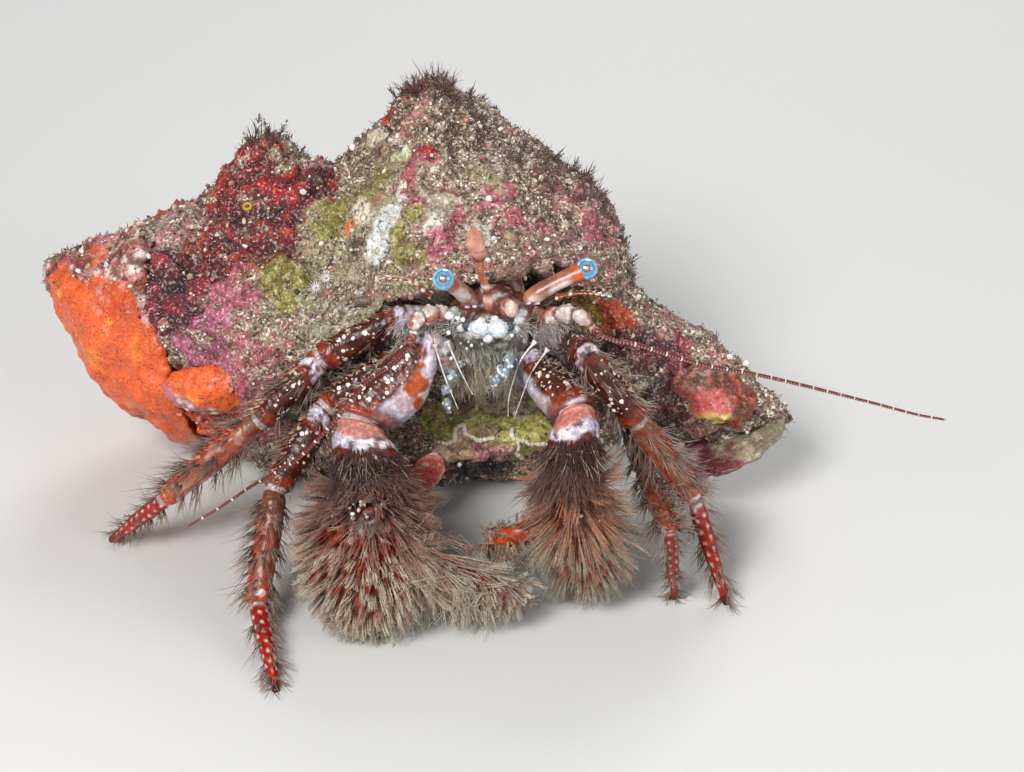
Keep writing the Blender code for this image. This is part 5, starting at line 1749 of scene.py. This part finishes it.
def makeFaceParts(look):
    body = Bundle()
    replaced = []
    for side, sign in (("right", -1), ("left", 1)):
        name = f"antenna_{side}_peduncle"
        path, s, thick, end = spine(name, "shield", peduncle["rows"])
        lump = np.abs(np.sin(np.pi * (s * peduncle["lumps"] + 0.15)))

        def stained(rings, knob):
            stain = step(waves(rings, 0.9, 102, 2), 0.15, 0.45)
            joins = step(-lump, -0.3, -0.1)[:, None] * 0.7 * np.ones(stain.shape)
            return layered(knob, (peduncle["stain"], stain * 0.9), (peduncle["join"], joins))

        thick = thick * (0.72 + 0.34 * lump) * (0.98 - 0.35 * s)
        addKnobby(body, path, thick, peduncle["around"], peduncle["knob"], 101, peduncle["low"],
                  peduncle["high"], stain=stained)
        root = nearEnd(f"antenna_{side}_feeler", end)
        link = smoothPath([end, (end + root) / 2 + [0.1 * sign, -0.2, 0.25], root], 40)
        tint = blend(rgb(190, 140, 120), rgb(120, 40, 34), np.abs(np.sin(np.linspace(0, 9, 40))))
        addTube(body, link, np.linspace(0.46, 0.30, 40), 20, tint)

        path, s, thick, _ = spine(f"antenna_{side}_scale", name, scale["rows"])
        addKnobby(body, path, thick * (1.0 - 0.45 * s), scale["around"], scale["knob"], 103, scale["low"],
                  scale["high"], scale["squash"])
        count = scale["spikes"]
        at = path[np.linspace(8, 84, count).astype(int)]
        ways = unit(np.stack([np.full(count, 0.8 * sign), np.where(np.arange(count) % 2, -0.8, 0.7),
                              np.full(count, 0.25)], -1))
        addSpikes(body, at + ways * 0.12, ways, 0.55, 0.12, rgb(240, 226, 204))
        replaced += [name, f"antenna_{side}_scale"]
    for name, antennule in antennules.items():
        path, s, _, _ = spine(name, "shield", antennule["rows"])
        addTube(body, path, np.interp(s, antennule["at"], antennule["radii"]), 28,
                layered(antennule["colour"], *antennule["bands"](s)),
                lambda p: 0.03 * waves(p, 0.5, antennule["seed"], 2), antennule["squash"])
        replaced.append(name)
    body.build("face_parts", look, replaces=replaced)


frost, slate, ash = rgb(246, 250, 252), rgb(66, 84, 96), rgb(170, 172, 162)
mouth = dict(  # places are from the middle of the mouthparts
    lobes=[((-0.62, -0.95, 1.35), (0.98, 0.7, 0.92)), ((1.22, -0.95, 1.35), (0.98, 0.7, 0.92))],
    lumps=[((-1.75, -0.75, 1.6), 0.42, slate), ((2.35, -0.75, 1.5), 0.42, slate),
           ((0.3, -0.9, 0.35), 0.5, frost),
           ((-0.35, -0.85, 2.2), 0.36, frost), ((0.9, -0.85, 2.3), 0.4, frost), ((0.3, -0.8, 2.5), 0.3, ash),
           ((-1.5, -0.8, 0.6), 0.5, ash), ((2.1, -0.8, 0.5), 0.5, ash), ((-2.3, -0.5, 1.2), 0.42, frost),
           ((2.9, -0.4, 1.0), 0.42, frost), ((-2.8, -0.3, 2.0), 0.5, frost), ((3.3, -0.3, 1.9), 0.5, frost),
           ((-3.4, -0.6, 2.6), 0.42, frost), ((-2.9, -0.2, 2.9), 0.45, ash), ((3.6, -0.2, 2.7), 0.42, frost)],
    whips=[((-4.8, -2.0, 0.3), (-3.9, -3.2, -2.4), (-2.6, -4.0, -5.7)),
           ((-3.6, -1.8, 0.5), (-2.5, -2.9, -1.8), (-1.2, -3.5, -4.4)),
           ((4.8, -1.8, 0.5), (3.3, -2.7, -1.3), (2.3, -3.5, -4.6), (2.2, -3.8, -6.7)),
           ((6.0, -1.5, -0.5), (4.3, -2.7, -2.8), (2.8, -3.5, -6.9))],
    beads=46, palpBeats=4.0)


def makeMouth(look):
    body = Bundle()
    rng = np.random.default_rng(17)

    def lump(shift, radii, low, high, size, seed, depth=1.0, rows=32, around=44):
        out = ballPoints(rows, around)
        points = out * radii + (mouthMiddle + shift)
        first = cells(points, size, seed)[0]
        points = points + out * (size * 0.7 * np.clip(0.6 - first, 0, 1) * depth)[:, None]
        body.add(points, *closedFaces(rows, around), blend(low, high, step(0.62 - first, 0.0, 0.3)))

    low, high = nodeBox("mouthparts")
    lump([0, 0.35, -0.3], (high - low) / 2 * [0.98, 0.85, 0.92], rgb(98, 96, 84), ash, 0.8, 111)
    for shift, radii in mouth["lobes"]:
        lump(shift, radii, rgb(206, 222, 230), frost, 0.34, 112, 0.9)
    for shift, radius, tone in mouth["lumps"]:
        lump(shift, np.full(3, radius) * [1.1, 0.8, 1.0], tone * 0.75, tone, 0.24, 113, 0.8, 16, 22)
    for side in ("right", "left"):
        path, s, thick, _ = spine(f"maxilliped_{side}", "thorax", 140)
        beat = np.abs(np.sin(np.pi * (s * mouth["palpBeats"] + 0.1)))

        def clearer(rings, tint):
            clear = step(waves(rings, 1.3, 115), 0.2, 0.5) * step(1 - beat, 0.2, 0.6)[:, None]
            dark = step(waves(rings, 0.5, 116, 2), 0.30, 0.45) * 0.9
            return layered(tint, (rgb(120, 116, 104), clear), (rgb(38, 42, 50), dark))

        addKnobby(body, path, thick * (0.5 + 0.42 * beat) * 0.95, 44, 0.4, 114, rgb(128, 146, 156), frost,
                  stain=clearer)
    s = np.linspace(0, 1, 80)
    for route in mouth["whips"]:
        path = smoothPath(mouthMiddle + np.array(route), len(s))
        thick = 0.10 - 0.06 * s + 0.20 * near(s, 0.0, 0.05) + 0.04 * near(s, 0.12, 0.03)
        joints = near(s % 0.25, 0.12, 0.03) * 0.5
        addTube(body, path, thick, 10, blend(rgb(226, 226, 220), rgb(120, 110, 100), joints))
    for _ in range(mouth["beads"]):
        spot = mouthMiddle + [rng.uniform(-3.6, 3.8), rng.uniform(-1.2, -0.2), rng.uniform(-2.2, 3.0)]
        tone = (frost, slate, ash)[int(rng.integers(0, 3))]
        addBall(body, spot, rng.uniform(0.10, 0.24) * np.array([1, 0.8, 1.1]), tone, 6, 8)
    body.build("mouth_parts", look,
               replaces=["mouthparts", "maxilliped_left", "maxilliped_right"])


rasp = dict(count=26, turn=2.4, long=0.28, wide=0.08, colour=rgb(120, 70, 50))  # grips the shell's inside


def makeSmallLegs(look):
    for name in (f"leg_{side}_{number}" for side in ("left", "right") for number in (4, 5)):
        path, s, thick, end = spine(name, "rear_carapace", 80)
        beat = np.abs(np.sin(np.pi * (s * 3 + 0.05)))
        tint = blend(rgb(196, 140, 118), rgb(232, 216, 206), step(1 - beat, 0.3, 0.8))
        body = Bundle()
        addTube(body, path, thick * (0.72 + 0.24 * beat), 28, tint, lambda p: 0.05 * waves(p, 0.5, 121, 2))
        turn = np.arange(rasp["count"]) * rasp["turn"]
        ways = unit(np.stack([np.cos(turn), np.sin(turn), np.full(len(turn), -0.5)], -1))
        addSpikes(body, end + ways * 0.25, ways, rasp["long"], rasp["wide"], rasp["colour"])
        body.build(f"{name}_skin", look, replaces=[name])


flesh = fleshLook("fleshSkin")
shine = fleshLook("shinySkin", 0.36, 0.4)
makeBody(flesh)
cornea = eyeLook()
for side in ("left", "right"):
    makeEye(side, cornea)
    makeStalk(side, shine)
makeFeelers(shine)
makeFaceParts(shine)
makeMouth(shine)
makeSmallLegs(flesh)
print("face ready")


# bristles on the legs and arms, and the hairs round the mouth
bristles = {  # for each segment: tufts, hairs in a tuft, length, and how far they stand out
    "merus": (26, 4, 1.3, 0.55), "carpus": (46, 5, 1.9, 0.6), "propodus": (74, 6, 2.7, 0.62),
    "dactyl": (44, 5, 2.0, 0.5)}
armHair = (  # segment, tufts, hairs in a tuft, length, where it starts, root and tip colour
    (0, 70, 4, 0.9, 0.1, rgb(120, 80, 62), rgb(206, 190, 170)),
    (1, 300, 6, 1.7, 0.46, rgb(40, 16, 14), rgb(88, 44, 36)),
    (1, 90, 6, 2.2, 0.80, rgb(56, 26, 22), rgb(120, 82, 66)),
    (1, 130, 6, 4.4, 0.86, rgb(48, 20, 18), rgb(136, 92, 74)),
    (1, 44, 4, 2.6, 0.50, rgb(120, 86, 68), rgb(200, 180, 156)))
stone = rgb(170, 164, 156)
faceHair = (  # place and spread round the mouth, number, length, way, root and tip colour
    ((0.2, 0.4, -3.4), (2.8, 0.7, 1.4), 680, 3.0, (0, -0.3, -1.0), rgb(182, 172, 142), rgb(228, 218, 190)),
    ((0.2, -0.2, -1.6), (2.9, 0.5, 0.7), 360, 1.9, (0, -0.7, -0.8), rgb(150, 148, 132), rgb(206, 204, 188)),
    ((-4.4, 1.2, 3.0), (1.2, 0.5, 0.4), 120, 2.2, (-0.7, -0.1, 0.9), rgb(60, 44, 40), rgb(120, 100, 90)),
    ((4.8, 1.2, 3.2), (1.2, 0.5, 0.4), 90, 1.6, (0.6, -0.3, 0.7), rgb(80, 56, 48), rgb(150, 130, 116)),
    ((-3.4, -0.4, 1.4), (0.9, 0.4, 0.8), 110, 1.1, (-0.6, -0.8, 0.1), stone, rgb(236, 232, 226)),
    ((3.8, -0.4, 1.2), (0.9, 0.4, 0.8), 110, 1.1, (0.6, -0.8, 0.1), stone, rgb(236, 232, 226)),
    ((-6.6, -0.2, 0.6), (2.0, 0.8, 1.6), 240, 1.7, (-0.3, -0.6, -0.5), rgb(176, 168, 162),
     rgb(240, 236, 232)),
    ((6.6, 0.0, 0.8), (1.6, 0.8, 1.4), 180, 1.5, (0.3, -0.6, -0.5), rgb(150, 138, 128), rgb(226, 220, 212)))


def makeBristles(look):
    for name, leg in legs.items():
        rng = np.random.default_rng(60 + len(name) + ord(name[-1]) * 3 + ord(name[5]))
        coat = Bundle()
        for k, (segment, (tufts, each, long, stand)) in enumerate(zip(limbs[name], bristles.values())):
            outer = segment.turnTo(leg["spineSide"])
            edges = np.array([outer, outer, outer + math.pi, outer + math.pi, outer + 1.2, outer - 1.2])
            count = tufts * each
            t = np.repeat(rng.uniform(0.08, 0.97, tufts), each)
            edge = edges[rng.integers(0, len(edges), tufts)] + rng.normal(0, 0.42, tufts)
            turn = np.repeat(edge, each) + rng.normal(0, 0.10, count)
            roots = segment.at(t, turn, 0.93)
            ways = segment.outOf(turn) * stand + segment.along * 0.62 + rng.normal(0, 0.16, (count, 3))
            lengths = long * rng.uniform(0.45, 1.2, count)
            uv = np.stack([(turn / fullTurn) % 1 * 0.9 + 0.05, t * 0.2 + 0.02 + 0.25 * k], -1)
            dark = blend(rgb(70, 34, 26), rgb(128, 92, 72), rng.uniform(0, 1, count))
            pale = blend(rgb(116, 88, 72), rgb(200, 186, 166), rng.uniform(0, 1, count))
            width = rng.uniform(0.028, 0.05, count)
            bends = rng.normal(0, 0.16, (count, 3)) + segment.along * 0.12
            addStrands(coat, roots, ways, lengths, width, bends, dark, pale, uv, blunt=0.3)
        coat.build(f"{name}_bristles", look)


def makeArmHair(look):
    for name in claws:
        rng = np.random.default_rng(80 + len(name))
        coat = Bundle()
        for number, tufts, each, long, first, tone, tips in armHair:
            segment = limbs[name][number]
            count = tufts * each
            t = np.repeat(rng.uniform(first, 0.99, tufts), each)
            turn = np.repeat(rng.uniform(0, fullTurn, tufts), each) + rng.normal(0, 0.08, count)
            if number == 0:  # only along the merus' upper edge
                turn = np.repeat(segment.turnTo((0, 0.2, 1)) + rng.normal(0, 0.35, tufts), each)
            roots = segment.at(t, turn, 0.93)
            ways = segment.outOf(turn) * 0.62 + segment.along * 0.9 + rng.normal(0, 0.18, (count, 3))
            lengths = long * rng.uniform(0.45, 1.15, count)
            uv = np.stack([(turn / fullTurn) % 1 * 0.9 + 0.05, t * 0.4 + 0.05 + 0.5 * number], -1)
            shade = rng.uniform(0.7, 1.2, count)[:, None]
            addStrands(coat, roots, ways, lengths, rng.uniform(0.035, 0.06, count),
                       rng.normal(0, 0.14, (count, 3)), tone * shade, tips * shade, uv, blunt=0.4)
        coat.build(f"{name}_arm_hair", look)


def makeFaceHair(look):
    rng = np.random.default_rng(90)
    coat = Bundle()
    for place, spread, count, long, way, tone, tips in faceHair:
        roots = mouthMiddle + np.array(place) + rng.uniform(-1, 1, (count, 3)) * spread
        ways = np.array(way) + rng.normal(0, 0.38, (count, 3))
        shade = rng.uniform(0.7, 1.15, count)[:, None]
        uv = np.clip((roots - mouthMiddle)[:, [0, 2]] / 14 + 0.5, 0.02, 0.98)
        addStrands(coat, roots, ways, long * rng.uniform(0.5, 1.1, count), rng.uniform(0.022, 0.04, count),
                   rng.normal(0, 0.14, (count, 3)), tone * shade, tips * shade, uv, blunt=0.3)
    coat.build("face_hair", look)


bristleHair = hairLook("bristleHair", 0.42, 0.6)
makeBristles(bristleHair)
makeArmHair(bristleHair)
makeFaceHair(bristleHair)
print("hair ready")
